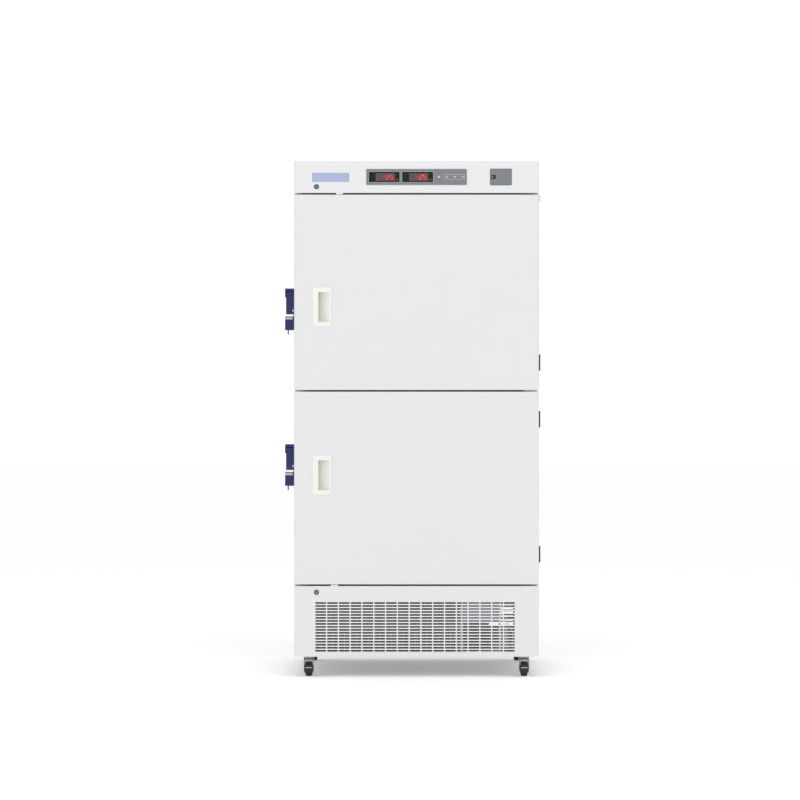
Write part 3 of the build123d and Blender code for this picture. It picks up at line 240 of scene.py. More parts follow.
@dataclass(frozen=True)
class Finish:
    """A finish: its slot in the record, colour, gloss, grain and extras."""

    slot: str
    color: Color
    roughness: float
    grain: Grain = Grain.SATIN
    metallic: float = 0.0
    mottle: float = 0.02
    unevenness: float = 0.08
    coat: float = 0.0
    dust: float = 0.0
    alpha: float = 1.0
    glow: float = 0.0
    made: dict = field(default_factory=dict, compare=False, repr=False)

    def material(self) -> bpy.types.Material:
        """Build the material once.

        Returns:
            The finish's material.
        """
        if "material" in self.made:
            return self.made["material"]
        material = bpy.data.materials.new(self.slot)
        material.use_nodes = True
        nodes, links = material.node_tree.nodes, material.node_tree.links
        shader = nodes["Principled BSDF"]
        shader.inputs["Metallic"].default_value = self.metallic
        shader.inputs["Coat Weight"].default_value = self.coat
        shader.inputs["Coat Roughness"].default_value = 0.08
        shader.inputs["Alpha"].default_value = self.alpha
        place = nodes.new("ShaderNodeTexCoord")
        size, height, stretch = self.grain.value
        surface = nodes.new("ShaderNodeGroup")
        surface.node_tree = Pattern.surface()
        surface.inputs["Stretch"].default_value = stretch
        surface.inputs["Color"].default_value = (*self.color, 1.0)
        surface.inputs["Mottle"].default_value = self.mottle
        surface.inputs["Roughness"].default_value = self.roughness
        surface.inputs["Unevenness"].default_value = self.unevenness
        surface.inputs["Grain"].default_value = 1.0 / (size * MM)
        links.new(place.outputs["Object"], surface.inputs["Vector"])
        links.new(surface.outputs["Roughness"], shader.inputs["Roughness"])
        colour = surface.outputs["Color"]
        if self.dust:
            settled = nodes.new("ShaderNodeGroup")
            settled.node_tree = Pattern.settled()
            settled.inputs["Dust"].default_value = (*tint("9b978f"), 1.0)
            settled.inputs["Amount"].default_value = self.dust
            links.new(place.outputs["Object"], settled.inputs["Vector"])
            links.new(colour, settled.inputs["Color"])
            colour = settled.outputs["Color"]
        links.new(colour, shader.inputs["Base Color"])
        if self.glow:
            links.new(colour, shader.inputs["Emission Color"])
            shader.inputs["Emission Strength"].default_value = self.glow
        bump = nodes.new("ShaderNodeBump")
        bump.inputs["Distance"].default_value = height * MM
        links.new(surface.outputs["Height"], bump.inputs["Height"])
        links.new(bump.outputs["Normal"], shader.inputs["Normal"])
        self.made["material"] = material
        return material


CASE = Finish("case_white", tint("e3e3e5"), 0.36, Grain.ENAMEL, mottle=0.006, coat=0.25)
HEADER = Finish("header_white", tint("e6e6e8"), 0.34, Grain.ENAMEL, mottle=0.006, coat=0.3)
LINER = Finish("liner_white", tint("e4e5e6"), 0.3, Grain.ENAMEL, mottle=0.01, coat=0.2)
ZINC = Finish(
    "zinc_sheet", tint("a9adb1"), 0.42, Grain.SPANGLE, metallic=1.0, mottle=0.12, unevenness=0.2, dust=0.5
)
FOAM = Finish("foam", tint("e9dfb8"), 0.9, Grain.FOAM, mottle=0.08)
GASKET = Finish("gasket_grey", tint("b9bbbd"), 0.55, Grain.SATIN, mottle=0.03)
SHELF = Finish("shelf_aluminium", tint("c9ccd0"), 0.35, Grain.BRUSHED_ACROSS, metallic=1.0, mottle=0.05)
PULL = Finish("pull_cream", tint("f0efe8"), 0.3, Grain.SATIN, mottle=0.008, coat=0.2)
BLUE = Finish("latch_blue", tint("101060"), 0.33, Grain.MOULDED, mottle=0.05, coat=0.15)
STEEL = Finish("latch_steel", tint("c3c1b4"), 0.25, Grain.BRUSHED_UP, metallic=1.0, mottle=0.05)
HINGE = Finish("hinge_black", tint("1d1e20"), 0.42, Grain.CAST, mottle=0.1)
BARREL = Finish("lock_black", tint("2a2b2c"), 0.3, Grain.SATIN, mottle=0.05)
KEY = Finish("lock_steel", tint("8f9193"), 0.28, Grain.BRUSHED_ACROSS, metallic=1.0, mottle=0.08)
BEZEL = Finish("bezel_grey", tint("7c7f82"), 0.48, Grain.MOULDED, mottle=0.02)
SMOKE = Finish("window_smoke", tint("0a0a0c"), 0.06, Grain.SATIN, mottle=0.02, unevenness=0.02, alpha=0.55)
BOARD = Finish("board_green", tint("1f5a38"), 0.5, Grain.SATIN, mottle=0.15)
BUTTON = Finish("button_grey", tint("8e9295"), 0.4, Grain.MOULDED, mottle=0.02)
PLATE = Finish("plate_grey", tint("7c7f82"), 0.48, Grain.MOULDED, mottle=0.02)
ROCKER = Finish("rocker_black", tint("161617"), 0.3, Grain.SATIN, mottle=0.05, coat=0.2)
COIL = Finish("coil_aluminium", tint("a2a6aa"), 0.38, Grain.BRUSHED_UP, metallic=0.9, mottle=0.15, dust=0.4)
MOTOR = Finish("motor_black", tint("1b1c1e"), 0.45, Grain.CAST, mottle=0.15, dust=0.6)
FAN = Finish("fan_black", tint("232426"), 0.5, Grain.MOULDED, mottle=0.08)
BOX = Finish("box_white", tint("9c9ea3"), 0.4, Grain.ENAMEL, mottle=0.01)
COPPER = Finish("copper", tint("b9764f"), 0.35, Grain.SATIN, metallic=1.0, mottle=0.2, unevenness=0.3)
CHROME = Finish("caster_steel", tint("85888c"), 0.22, Grain.SATIN, metallic=1.0, mottle=0.04)
RUBBER = Finish("wheel_black", tint("141415"), 0.55, Grain.MOULDED, mottle=0.1)
PEDAL = Finish("pedal_black", tint("0f0f10"), 0.42, Grain.MOULDED, mottle=0.08)

PRINT = Finish("button_grey", tint("d4d7da"), 0.5, Grain.SATIN, mottle=0.02)
FRAME_LINE = Finish("bezel_grey", tint("a6abb0"), 0.4, Grain.SATIN, mottle=0.02)
# Display filter: its glow is painted light, since the filter holds no lamp of its own.
SCREEN = Finish("window_smoke", tint("b79a9e"), 0.45, Grain.MOULDED, mottle=0.06, glow=0.9)
LED = Finish("window_smoke", tint("ff1f1f"), 0.4, Grain.SATIN, mottle=0.02, glow=5.0)
LENS = Finish("window_smoke", tint("e01020"), 0.25, Grain.SATIN, mottle=0.02, glow=1.6)
NAMEPLATE = Finish("header_white", tint("aeb9dc"), 0.3, Grain.BRUSHED_ACROSS, metallic=0.3, mottle=0.03)
DARK = Finish("hinge_black", tint("101112"), 0.7, Grain.SATIN, mottle=0.1)
BRIGHT = Finish("latch_steel", tint("d9dadb"), 0.2, Grain.SATIN, metallic=1.0, mottle=0.04)
WIRE_WHITE = Finish("box_white", tint("f0f0ee"), 0.45, Grain.SATIN, mottle=0.02)
SHADE = Finish("plate_grey", tint("666a6d"), 0.5, Grain.MOULDED, mottle=0.03)


def facing(axis: Vector) -> Matrix:
    """The turn that points a shape's own Z along an axis."""
    return axis.to_track_quat("Z", "Y").to_matrix().to_4x4()


class View(Enum):
    """The side that a flat outline is drawn from: its across, up and depth axes."""

    FRONT = (0, 2, 1)
    PLAN = (0, 1, 2)

    def point(self, across: float, up: float, depth: float) -> Vector:
        """A point of the object from a place on the drawing."""
        place = Vector((0.0, 0.0, 0.0))
        for axis, value in zip(self.value, (across, up, depth)):
            place[axis] = value
        return place


class Form:
    """A mesh in the making, in millimetres in the object's own frame."""

    def __init__(self) -> None:
        """Start with nothing."""
        self.bm = bmesh.new()

    def _ease(self, edges: list[bmesh.types.BMEdge], ease: float, steps: int) -> None:
        """Round edges off.

        Args:
            edges: The edges to round.
            ease: The width of the round, or 0 for none.
            steps: The facets across it.
        """
        if ease > 0:
            bmesh.ops.bevel(
                self.bm, geom=edges, offset=ease, offset_type="OFFSET", segments=steps, profile=0.5,
                affect="EDGES", clamp_overlap=True, material=-1,
            )

    def block(self, low: Point, high: Point, ease: float = 0.3, steps: int = 2) -> Form:
        """Add a box with eased edges.

        Args:
            low: Its lowest corner.
            high: Its highest corner.
            ease: The width of the round on its edges.
            steps: The facets across that round.

        Returns:
            This form.
        """
        size = Vector(high) - Vector(low)
        place = Matrix.Translation((Vector(high) + Vector(low)) / 2) @ Matrix.Diagonal((*size, 1.0))
        made = bmesh.ops.create_cube(self.bm, size=1.0, matrix=place)
        self._ease(list({edge for vert in made["verts"] for edge in vert.link_edges}), ease, steps)
        return self

    def rod(self, start: Point, end: Point, radius: float, ease: float = 0.3, sides: int = 24) -> Form:
        """Add a round bar with eased ends.

        Args:
            start: The middle of one end.
            end: The middle of the other end.
            radius: The bar's radius.
            ease: The width of the round at its ends.
            sides: The facets round it.

        Returns:
            This form.
        """
        along = Vector(end) - Vector(start)
        place = Matrix.Translation((Vector(start) + Vector(end)) / 2) @ facing(along)
        made = bmesh.ops.create_cone(
            self.bm, cap_ends=True, segments=sides, radius1=radius, radius2=radius, depth=along.length,
            matrix=place,
        )
        rims = {edge for vert in made["verts"] for edge in vert.link_edges}
        capped = [edge for edge in rims if any(len(face.verts) == sides for face in edge.link_faces)]
        self._ease(capped, ease, 2)
        return self

    def turned(
        self, origin: Point, axis: Point, profile: list[Pair], sides: int = 32, closed: bool = False
    ) -> Form:
        """Add a turned shape.

        Args:
            origin: The point of the axis that heights are counted from.
            axis: The way that heights rise.
            profile: Radius and height pairs, in order.
            sides: The facets round it.
            closed: Whether the profile's last point joins its first.

        Returns:
            This form.
        """
        before = set(self.bm.verts)
        verts = [self.bm.verts.new((radius, 0.0, height)) for radius, height in profile]
        edges = [self.bm.edges.new(pair) for pair in zip(verts, verts[1:])]
        if closed:
            edges.append(self.bm.edges.new((verts[-1], verts[0])))
        bmesh.ops.spin(
            self.bm, geom=verts + edges, cent=(0, 0, 0), axis=(0, 0, 1), angle=2 * pi, steps=sides,
            use_merge=True,
        )
        made = [vert for vert in self.bm.verts if vert not in before]
        bmesh.ops.transform(self.bm, verts=made, matrix=Matrix.Translation(origin) @ facing(Vector(axis)))
        bmesh.ops.remove_doubles(self.bm, verts=made, dist=0.001)
        return self

    def _thicken(self, faces: list[bmesh.types.BMFace], way: Vector, ease: float, steps: int) -> None:
        """Give flat faces their thickness.

        Args:
            faces: The faces.
            way: The thickness as a step.
            ease: The round on the far rim.
            steps: The facets across it.
        """
        pulled = bmesh.ops.extrude_face_region(self.bm, geom=faces, use_keep_orig=True)
        verts = [item for item in pulled["geom"] if isinstance(item, bmesh.types.BMVert)]
        bmesh.ops.translate(self.bm, verts=verts, vec=way)
        top = [item for item in pulled["geom"] if isinstance(item, bmesh.types.BMFace)]
        inside = set(top)
        around = {edge for face in top for edge in face.edges}
        rim = [edge for edge in around if any(other not in inside for other in edge.link_faces)]
        self._ease(rim, ease, steps)

    def slab(
        self, view: View, points: list[Pair], depth: Pair, corner: float = 0.0, ease: float = 0.0,
        hollow: float = 0.0,
    ) -> Form:
        """Add a plate cut to an outline.

        Args:
            view: The side that the outline is drawn from.
            points: The outline's corners.
            depth: Where the plate starts, and where its eased face ends.
            corner: The radius of the outline's corners.
            ease: The round on the far rim.
            hollow: The width of the rim that is left when the middle is cut out, or 0 for a full plate.

        Returns:
            This form.
        """
        verts = [self.bm.verts.new(view.point(*point, depth[0])) for point in points]
        face = self.bm.faces.new(verts)
        if corner:
            rounded = bmesh.ops.bevel(
                self.bm, geom=verts, offset=corner, offset_type="OFFSET", segments=5, profile=0.5,
                affect="VERTICES", clamp_overlap=True, material=-1,
            )
            face = max(
                {face for vert in rounded["verts"] for face in vert.link_faces},
                key=lambda item: item.calc_area(),
            )
        faces = [face]
        if hollow:
            ring = bmesh.ops.inset_region(
                self.bm, faces=faces, thickness=hollow, use_even_offset=True, use_boundary=True
            )
            bmesh.ops.delete(self.bm, geom=faces, context="FACES")
            faces = ring["faces"]
        self._thicken(faces, view.point(0, 0, depth[1] - depth[0]), ease, 2)
        return self

    def panel(
        self, view: View, low: Pair, high: Pair, depth: Pair, corner: float = 0.0, ease: float = 0.0,
        hollow: float = 0.0,
    ) -> Form:
        """Add a rectangular plate or frame: slab with two corners in place of an outline."""
        points = [(low[0], low[1]), (high[0], low[1]), (high[0], high[1]), (low[0], high[1])]
        return self.slab(view, points, depth, corner, ease, hollow)

    def pipe(self, points: list[Point], radius: float, bend: float, sides: int = 12, steps: int = 6) -> Form:
        """Add a round line with bent corners.

        Args:
            points: Its corners, from end to end.
            radius: The line's radius.
            bend: The radius of its bends.
            sides: The facets round it.
            steps: The facets along each bend.

        Returns:
            This form.
        """
        path = [Vector(point) for point in points]
        place = Matrix.Translation(path[0]) @ facing(path[1] - path[0])
        made = bmesh.ops.create_circle(self.bm, cap_ends=True, segments=sides, radius=radius, matrix=place)
        loop = list({edge for vert in made["verts"] for edge in vert.link_edges})
        here = path[0]
        for before, corner, after in zip(path, path[1:], path[2:]):
            way_in, way_out = (corner - before).normalized(), (after - corner).normalized()
            angle = way_in.angle(way_out)
            setback = bend * tan(angle / 2)
            axis = way_in.cross(way_out).normalized()
            start = corner - way_in * setback
            loop = self._pull(loop, start - here)
            spun = bmesh.ops.spin(
                self.bm, geom=loop, cent=start + axis.cross(way_in) * bend, axis=axis, angle=angle,
                steps=steps, use_merge=False,
            )
            loop = [item for item in spun["geom_last"] if isinstance(item, bmesh.types.BMEdge)]
            here = corner + way_out * setback
        loop = self._pull(loop, path[-1] - here)
        bmesh.ops.contextual_create(self.bm, geom=loop)
        return self

    def _pull(self, loop: list[bmesh.types.BMEdge], way: Vector) -> list[bmesh.types.BMEdge]:
        """Draw a ring of edges out along a step.

        Args:
            loop: The ring.
            way: The step.

        Returns:
            The ring at the step's end.
        """
        if way.length < 0.001:
            return loop
        pulled = bmesh.ops.extrude_edge_only(self.bm, edges=loop)["geom"]
        far = [item for item in pulled if isinstance(item, bmesh.types.BMVert)]
        bmesh.ops.translate(self.bm, verts=far, vec=way)
        return [item for item in pulled if isinstance(item, bmesh.types.BMEdge)]

    def ring_of(self, profile: list[Pair], low: Pair, high: Pair) -> Form:
        """Add a rectangular ring with one section all round, as a door seal has.

        Args:
            profile: The section: inset from the rectangle, and depth along Y, in order round it.
            low: The rectangle's lowest X and Z.
            high: The rectangle's highest X and Z.

        Returns:
            This form.
        """
        loops = []
        for inset, depth in profile:
            corners = [(low[0] + inset, low[1] + inset), (high[0] - inset, low[1] + inset),
                       (high[0] - inset, high[1] - inset), (low[0] + inset, high[1] - inset)]
            verts = [self.bm.verts.new((x, depth, z)) for x, z in corners]
            loops.append([self.bm.edges.new((verts[index - 1], verts[index])) for index in range(len(verts))])
        for first, second in zip(loops, loops[1:] + loops[:1]):
            bmesh.ops.bridge_loops(self.bm, edges=first + second)
        return self

    def screw(self, place: Point, way: Point, radius: float = 3.0, rise: float = 1.6) -> Form:
        """Add a pan-head screw with a socket.

        Args:
            place: The middle of the face that it sits on.
            way: The way that its head stands out.
            radius: The head's radius.
            rise: The head's height.

        Returns:
            This form.
        """
        core, rim = radius * 0.42, radius * 0.78
        floor, shoulder = rise * 0.35, rise * 0.5
        profile = [
            (0, floor), (core, floor), (core, rise), (rim, rise), (radius, shoulder), (radius, 0), (0, 0),
        ]
        return self.turned(place, way, profile, sides=12)

    def piece(self, name: str, finish: Finish, body: str, crease: float = 32.0) -> bpy.types.Object:
        """Finish the form as an object that rides on a body.

        Args:
            name: The piece's name.
            finish: Its finish.
            body: The body that it rides on.
            crease: The angle in degrees past which an edge stays sharp.

        Returns:
            The new object.
        """
        bmesh.ops.recalc_face_normals(self.bm, faces=self.bm.faces)
        bmesh.ops.scale(self.bm, verts=self.bm.verts, vec=(MM, MM, MM))
        mesh = bpy.data.meshes.new(name)
        self.bm.to_mesh(mesh)
        self.bm.free()
        return settle(bpy.data.objects.new(name, mesh), finish, body, crease)


def settle(thing: bpy.types.Object, finish: Finish, body: str, crease: float) -> bpy.types.Object:
    """Put a made object into the scene, finished and riding on its body.

    Args:
        thing: The object.
        finish: Its finish.
        body: The body that it rides on.
        crease: The angle in degrees past which an edge stays sharp.

    Returns:
        The same object.
    """
    bpy.context.scene.collection.objects.link(thing)
    for polygon in thing.data.polygons:
        polygon.use_smooth = True
    thing.data.set_sharp_from_angle(angle=radians(crease))
    thing.data.materials.append(finish.material())
    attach(thing, body)
    LOG.info("made %s, which rides on %s", thing.name, body)
    return thing


@dataclass(frozen=True)
class Dressed:
    """A CAD node shown by a welded copy of its own shape, with eased edges."""

    node: str
    finish: Finish
    ease: float = 0.3
    steps: int = 2
    crease: float = 30.0

    def build(self) -> bpy.types.Object:
        """Make the copy.

        Returns:
            The object that stands for the node.
        """
        bm = bmesh.new()
        bm.from_mesh(frame["nodes"][self.node].data)
        bmesh.ops.remove_doubles(bm, verts=bm.verts, dist=0.002 * MM)
        bmesh.ops.dissolve_limit(bm, angle_limit=radians(0.3), verts=bm.verts, edges=bm.edges)
        mesh = bpy.data.meshes.new(f"{self.node}_finished")
        bm.to_mesh(mesh)
        bm.free()
        thing = settle(bpy.data.objects.new(mesh.name, mesh), self.finish, body_of(self.node), self.crease)
        if self.ease:
            rounding = thing.modifiers.new("eased_edges", "BEVEL")
            rounding.width = self.ease * MM
            rounding.segments = self.steps
            rounding.limit_method = "ANGLE"
            rounding.angle_limit = radians(self.crease)
            rounding.harden_normals = True
            rounding.use_clamp_overlap = True
        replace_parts(thing, self.node)
        return thing


@dataclass
class Studio:
    """A white studio: floor, sky, soft lights and the camera."""

    camera_place: Point = (-0.0561, -10.5675, 0.9418)
    lens: float = 135.0
    sensor: float = 36.0
    floor_size: float = 60.0
    sky: float = 0.84
    side_share: float = 0.1

    def build(self) -> None:
        """Make the studio."""
        self._floor()
        self._sky()
        self._lights()
        self._camera()
        bpy.context.scene.view_settings.view_transform = "Standard"

    def _floor(self) -> None:
        """Lay the pale floor."""
        bm = bmesh.new()
        bmesh.ops.create_grid(bm, x_segments=1, y_segments=1, size=self.floor_size / 2)
        mesh = bpy.data.meshes.new("floor")
        bm.to_mesh(mesh)
        bm.free()
        floor = bpy.data.objects.new("floor", mesh)
        bpy.context.scene.collection.objects.link(floor)
        pale = Finish("floor", (0.96, 0.96, 0.96), 0.9, Grain.SATIN, mottle=0.004, glow=0.22)
        floor.data.materials.append(pale.material())

    def _sky(self) -> None:
        """Light from all round: white to the camera, dimmer from the sides so that edges read."""
        world = bpy.data.worlds.new("studio")
        bpy.context.scene.world = world
        world.use_nodes = True
        nodes, links = world.node_tree.nodes, world.node_tree.links
        background = nodes["Background"]
        place = nodes.new("ShaderNodeTexCoord")
        split = nodes.new("ShaderNodeSeparateXYZ")
        links.new(place.outputs["Generated"], split.inputs[0])
        sideways = nodes.new("ShaderNodeMath")
        sideways.operation = "ABSOLUTE"
        links.new(split.outputs["X"], sideways.inputs[0])
        dim = nodes.new("ShaderNodeMapRange")
        dim.interpolation_type = "SMOOTHSTEP"
        dim.inputs["From Min"].default_value = 0.78
        dim.inputs["From Max"].default_value = 0.99
        dim.inputs["To Min"].default_value = self.sky
        dim.inputs["To Max"].default_value = self.sky * self.side_share
        links.new(sideways.outputs[0], dim.inputs["Value"])
        ray = nodes.new("ShaderNodeLightPath")
        seen = nodes.new("ShaderNodeMix")
        links.new(ray.outputs["Is Camera Ray"], seen.inputs[0])
        links.new(dim.outputs[0], seen.inputs[2])
        seen.inputs[3].default_value = 1.05
        links.new(seen.outputs[0], background.inputs["Strength"])
        background.inputs["Color"].default_value = (1.0, 1.0, 1.0, 1.0)

    def _lamp(self, name: str, place: Point, aim: Point, size: Pair, power: float) -> None:
        """Hang one soft box.

        Args:
            name: The lamp's name.
            place: Where it hangs, in metres.
            aim: The point that it faces.
            size: Its width and height.
            power: Its power in watts.
        """
        lamp = bpy.data.lights.new(name, "AREA")
        lamp.shape = "RECTANGLE"
        lamp.size, lamp.size_y = size
        lamp.energy = power
        holder = bpy.data.objects.new(name, lamp)
        bpy.context.scene.collection.objects.link(holder)
        way = Vector(aim) - Vector(place)
        holder.matrix_world = Matrix.Translation(place) @ way.to_track_quat("-Z", "Y").to_matrix().to_4x4()

    def _lights(self) -> None:
        """Hang two tall strips for the rounded edges, and one box overhead."""
        for hand, name in ((-1, "left_strip"), (1, "right_strip")):
            self._lamp(name, (hand * 3.4, -2.2, 1.1), (0.0, -0.3, 0.95), (0.35, 2.8), 16.0)
        self._lamp("overhead", (0.0, -1.6, 4.2), (0.0, 0.0, 0.9), (3.0, 2.0), 16.0)

    def _camera(self) -> None:
        """Stand the camera level, straight in front."""
        camera = bpy.data.cameras.new("camera")
        camera.lens = self.lens
        camera.sensor_width = self.sensor
        camera.clip_end = 200.0
        holder = bpy.data.objects.new("camera", camera)
        bpy.context.scene.collection.objects.link(holder)
        holder.matrix_world = Matrix.Translation(self.camera_place) @ Matrix.Rotation(pi / 2, 4, "X")
        bpy.context.scene.camera = holder


@dataclass
class Cabinet:
    """The fixed case: its sheets, back, chambers and the small things on them."""

    pad_height: float = 4.6
    pad_width: float = 24.0
    upper_pad: float = -274.0
    lower_pad: float = -291.0
    plate_span: Pair = (365.0, 410.0)
    plate_reach: float = 66.0
    plate_sheet: float = 2.4
    screw_pitch: float = 150.0
    cage_span: Pair = (140.0, 176.0)
    cage_depth: float = 26.0
    cage_bars: int = 6
    cage_pitch: float = 9.0
    cage_start: float = 70.0

    def build(self) -> None:
        """Dress the sheets and add the fittings."""
        Dressed("outer_case", CASE, 0.0).build()
        Dressed("header_fascia", HEADER, 0.5, 3).build()
        Dressed("base_front_panel", CASE, 0.35).build()
        Dressed("back_panel", ZINC, 0.5).build()
        Dressed("rear_service_cover", ZINC, 0.3).build()
        Dressed("base_chassis", ZINC, 0.3).build()
        Dressed("front_frame", LINER, 0.6).build()
        Dressed("chamber_liners", LINER, 0.3).build()
        Dressed("evaporator_shelves", SHELF, 0.5).build()
        Dressed("insulation", FOAM, 0.0).build()
        self._gap_pads()
        self._middle_plate()
        self._rear_screws()
        self._chamber_fittings()

    def _gap_pads(self) -> None:
        """Add the white pads in the gaps over the upper door and under the lower one."""
        header, base = span("header_fascia"), span("base_front_panel")
        depth = (header[0].y + 2.5, header[1].y - 2.0)
        pads = Form()
        for left, bottom in ((self.upper_pad, header[0].z - self.pad_height), (self.lower_pad, base[1].z)):
            right, top = left + self.pad_width, bottom + self.pad_height
            pads.block((left, depth[0], bottom), (right, depth[1], top))
        pads.piece("gap_pads", WIRE_WHITE, "cabinet")

    def _middle_plate(self) -> None:
        """Add the plate that stands out between the doors on the hinge side."""
        back = span("front_frame")[0].y
        middle = (span("lower_door_skin")[1].z + span("upper_door_skin")[0].z) / 2
        left, right = self.plate_span
        half = self.plate_sheet / 2
        plate = Form().block((left, back - self.plate_reach, middle - half), (right, back, middle + half), 0.4)
        plate.piece("middle_plate", BRIGHT, "cabinet")

    def _rear_screws(self) -> None:
        """Add the screws that hold the rear sheets."""
        screws = Form()
        cover_low, cover_high = span("rear_service_cover")
        panel_low, panel_high = span("back_panel")
        cover_y = frame_depth("rear_service_cover")
        half = cover_high.x - 12.0
        count = int(2 * half / self.screw_pitch)
        for index in range(count + 1):
            x = -half + index * 2 * half / count
            for z in (cover_low.z + 10.0, cover_high.z - 8.0, panel_low.z + 10.0, panel_high.z - 10.0):
                screws.screw((x, cover_y, z), (0, 1, 0))
        rise = panel_high.z - panel_low.z - 20.0
        rows = int(rise / self.screw_pitch)
        for index in range(1, rows):
            for x in (-half, half):
                screws.screw((x, cover_y, panel_low.z + 10.0 + index * rise / rows), (0, 1, 0))
        screws.piece("rear_screws", BRIGHT, "cabinet")

    def _chamber_fittings(self) -> None:
        """Add the probe cage in each chamber, with a short rod inside it."""
        fittings = Form()
        back = span("chamber_liners")[1].y
        left, right = self.cage_span
        middle = sum(self.cage_span) / 2
        for roof in chamber_roofs():
            foot = roof - self.cage_depth
            for step in range(self.cage_bars):
                y = back - self.cage_start + step * self.cage_pitch
                points = [(left, y, roof), (left, y, foot), (right, y, foot), (right, y, roof)]
                fittings.pipe(points, 1.0, 5.0, sides=8, steps=3)
            fittings.rod((middle, back - 66.0, foot + 12.0), (middle, back - 22.0, foot + 12.0), 3.0)
        fittings.piece("probe_cages", BRIGHT, "cabinet")


def frame_depth(node: str) -> float:
    """The Y of the outer face of a rear sheet, which its raised parts stand proud of."""
    depths = sorted(vert.co.y / MM for vert in frame["nodes"][node].data.vertices)
    rounded = [round(depth, 1) for depth in depths]
    return max(set(rounded), key=rounded.count)


def chamber_roofs(rim: float = 45.0) -> list[float]:
    """The roof of each chamber, which lies a rim below its door's top, lower one first."""
    return [span(f"{name}_door_skin")[1].z - rim for name in ("lower", "upper")]


@dataclass
class Door:
    """One door: sheet, liner, seal and pull."""

    name: str
    seal_width: float = 26.0
    body: str = field(init=False)

    def __post_init__(self) -> None:
        """Name the door's body."""
        self.body = f"{self.name}_door"

    def build(self) -> None:
        """Dress the door."""
        Dressed(f"{self.name}_door_skin", CASE, 0.3, 3).build()
        Dressed(f"{self.name}_door_liner", LINER, 0.8, 3).build()
        Dressed(f"{self.name}_door_foam", FOAM, 0.0).build()
        Dressed(f"{self.name}_door_pull", PULL, 0.9, 3).build()
        self._seal()
        self._liner_screws()

    def _seal(self) -> None:
        """Make the seal with its foot, bellows and magnet bulb."""
        low, high = span(f"{self.name}_door_gasket")
        start, end = low.y, high.y
        width = self.seal_width
        section = [
            (0.0, 0.0), (0.0, 1.6), (3.0, 2.5), (5.5, 4.0), (4.0, 5.6), (5.8, 7.2), (2.6, 8.4), (2.6, 11.2),
            (4.0, 12.0), (width - 4.0, 12.0), (width - 2.6, 11.2), (width - 2.6, 8.4), (width - 5.8, 7.2),
            (width - 4.0, 5.6), (width - 5.5, 4.0), (width - 3.0, 2.5), (width, 1.6), (width, 0.0),
        ]
        share = (end - start) / 12.0
        profile = [(inset, start + depth * share) for inset, depth in section]
        seal = Form().ring_of(profile, (low.x, low.z), (high.x, high.z))
        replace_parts(seal.piece(f"{self.name}_seal", GASKET, self.body, 60.0), f"{self.name}_door_gasket")

    def _liner_screws(self) -> None:
        """Add the screws hidden round the liner's edge."""
        low, high = span(f"{self.name}_door_liner")
        plane = span(f"{self.name}_door_gasket")[0].y
        screws = Form()
        inset, count = 6.0, 6
        for index in range(count + 1):
            z = low.z + inset + index * (high.z - low.z - 2 * inset) / count
            for x in (low.x + inset, high.x - inset):
                screws.screw((x, plane, z), (0, 1, 0), 2.4, 1.2)
        screws.piece(f"{self.name}_liner_screws", BRIGHT, self.body)


@dataclass
class Latch:
    """One side latch: housing, lever, pin and their small parts."""

    name: str
    block_height: float = 47.0
    band_heights: Pair = (10.6, 2.4)
    band_wall: float = 1.4
    side_gap: float = 3.4

    def build(self) -> None:
        """Dress the latch."""
        Dressed(f"{self.name}_latch_housing", BLUE, 0.8, 3).build()
        Dressed(f"{self.name}_latch_lever", BLUE, 0.9, 3).build()
        Dressed(f"{self.name}_lock_pin", BLUE, 0.4).build()
        self._band()
        self._screws()

    def _band(self) -> None:
        """Add the bright band round the top of the lock block."""
        low, high = span(f"{self.name}_latch_housing")
        top = low.z + self.block_height
        heights = (top - self.band_heights[0], top - self.band_heights[1])
        corners = (low.x, low.y), (high.x - self.side_gap, high.y)
        band = Form().panel(View.PLAN, *corners, heights, 2.4, 0.0, self.band_wall)
        band.piece(f"{self.name}_latch_band", STEEL, f"{self.name}_door")

    def _screws(self) -> None:
        """Add the housing's screws and the pivot's end cap."""
        low, high = span(f"{self.name}_latch_housing")
        middle_y = (low.y + high.y) / 2
        pivot_z = high.z - 15.0
        screws = Form()
        screws.turned((low.x + 0.2, middle_y, pivot_z), (-1, 0, 0), [(0, 0), (5.0, 0), (5.0, 0.2), (0, 0.2)])
        for z in (high.z - 42.0, high.z - 66.0):
            screws.screw((high.x - 3.0, middle_y, z), (-1, 0, 0), 2.8, 1.2)
        screws.piece(f"{self.name}_latch_screws", BRIGHT, f"{self.name}_door")


@dataclass
class SideHinges:
    """The hinge leaves on the right side, with their screws."""

    screw_radius: float = 2.6

    def build(self) -> None:
        """Dress the leaves and set their screws."""
        for node in ("cabinet_hinge_leaves", "upper_door_hinge_leaves", "lower_door_hinge_leaves"):
            Dressed(node, HINGE, 0.4).build()
        Dressed("latch_keepers", STEEL, 0.4).build()
        side = span("header_fascia")[1].x
        face = span("front_frame")[0].y
        heights = {"upper": [1070.0], "lower": [876.0, 414.0]}
        for name, levels in heights.items():
            for body, way in (("cabinet", 1.0), (f"{name}_door", -1.0)):
                screws = Form()
                for z in levels:
                    for rise in (-18.0, 0.0, 18.0):
                        reach = 34.0 if rise else 20.0
                        place = (side + 2.5, face + way * reach, z + rise)
                        screws.screw(place, (1, 0, 0), self.screw_radius, 1.1)
                screws.piece(f"{name}_{'fixed' if way > 0 else 'swung'}_hinge_screws", DARK, body)


@dataclass
class KeyLock:
    """A key lock's visible plug face."""

    name: str

    def build(self) -> None:
        """Dress the plug."""
        Dressed(f"{self.name}_lock_plug", KEY, 0.3).build()


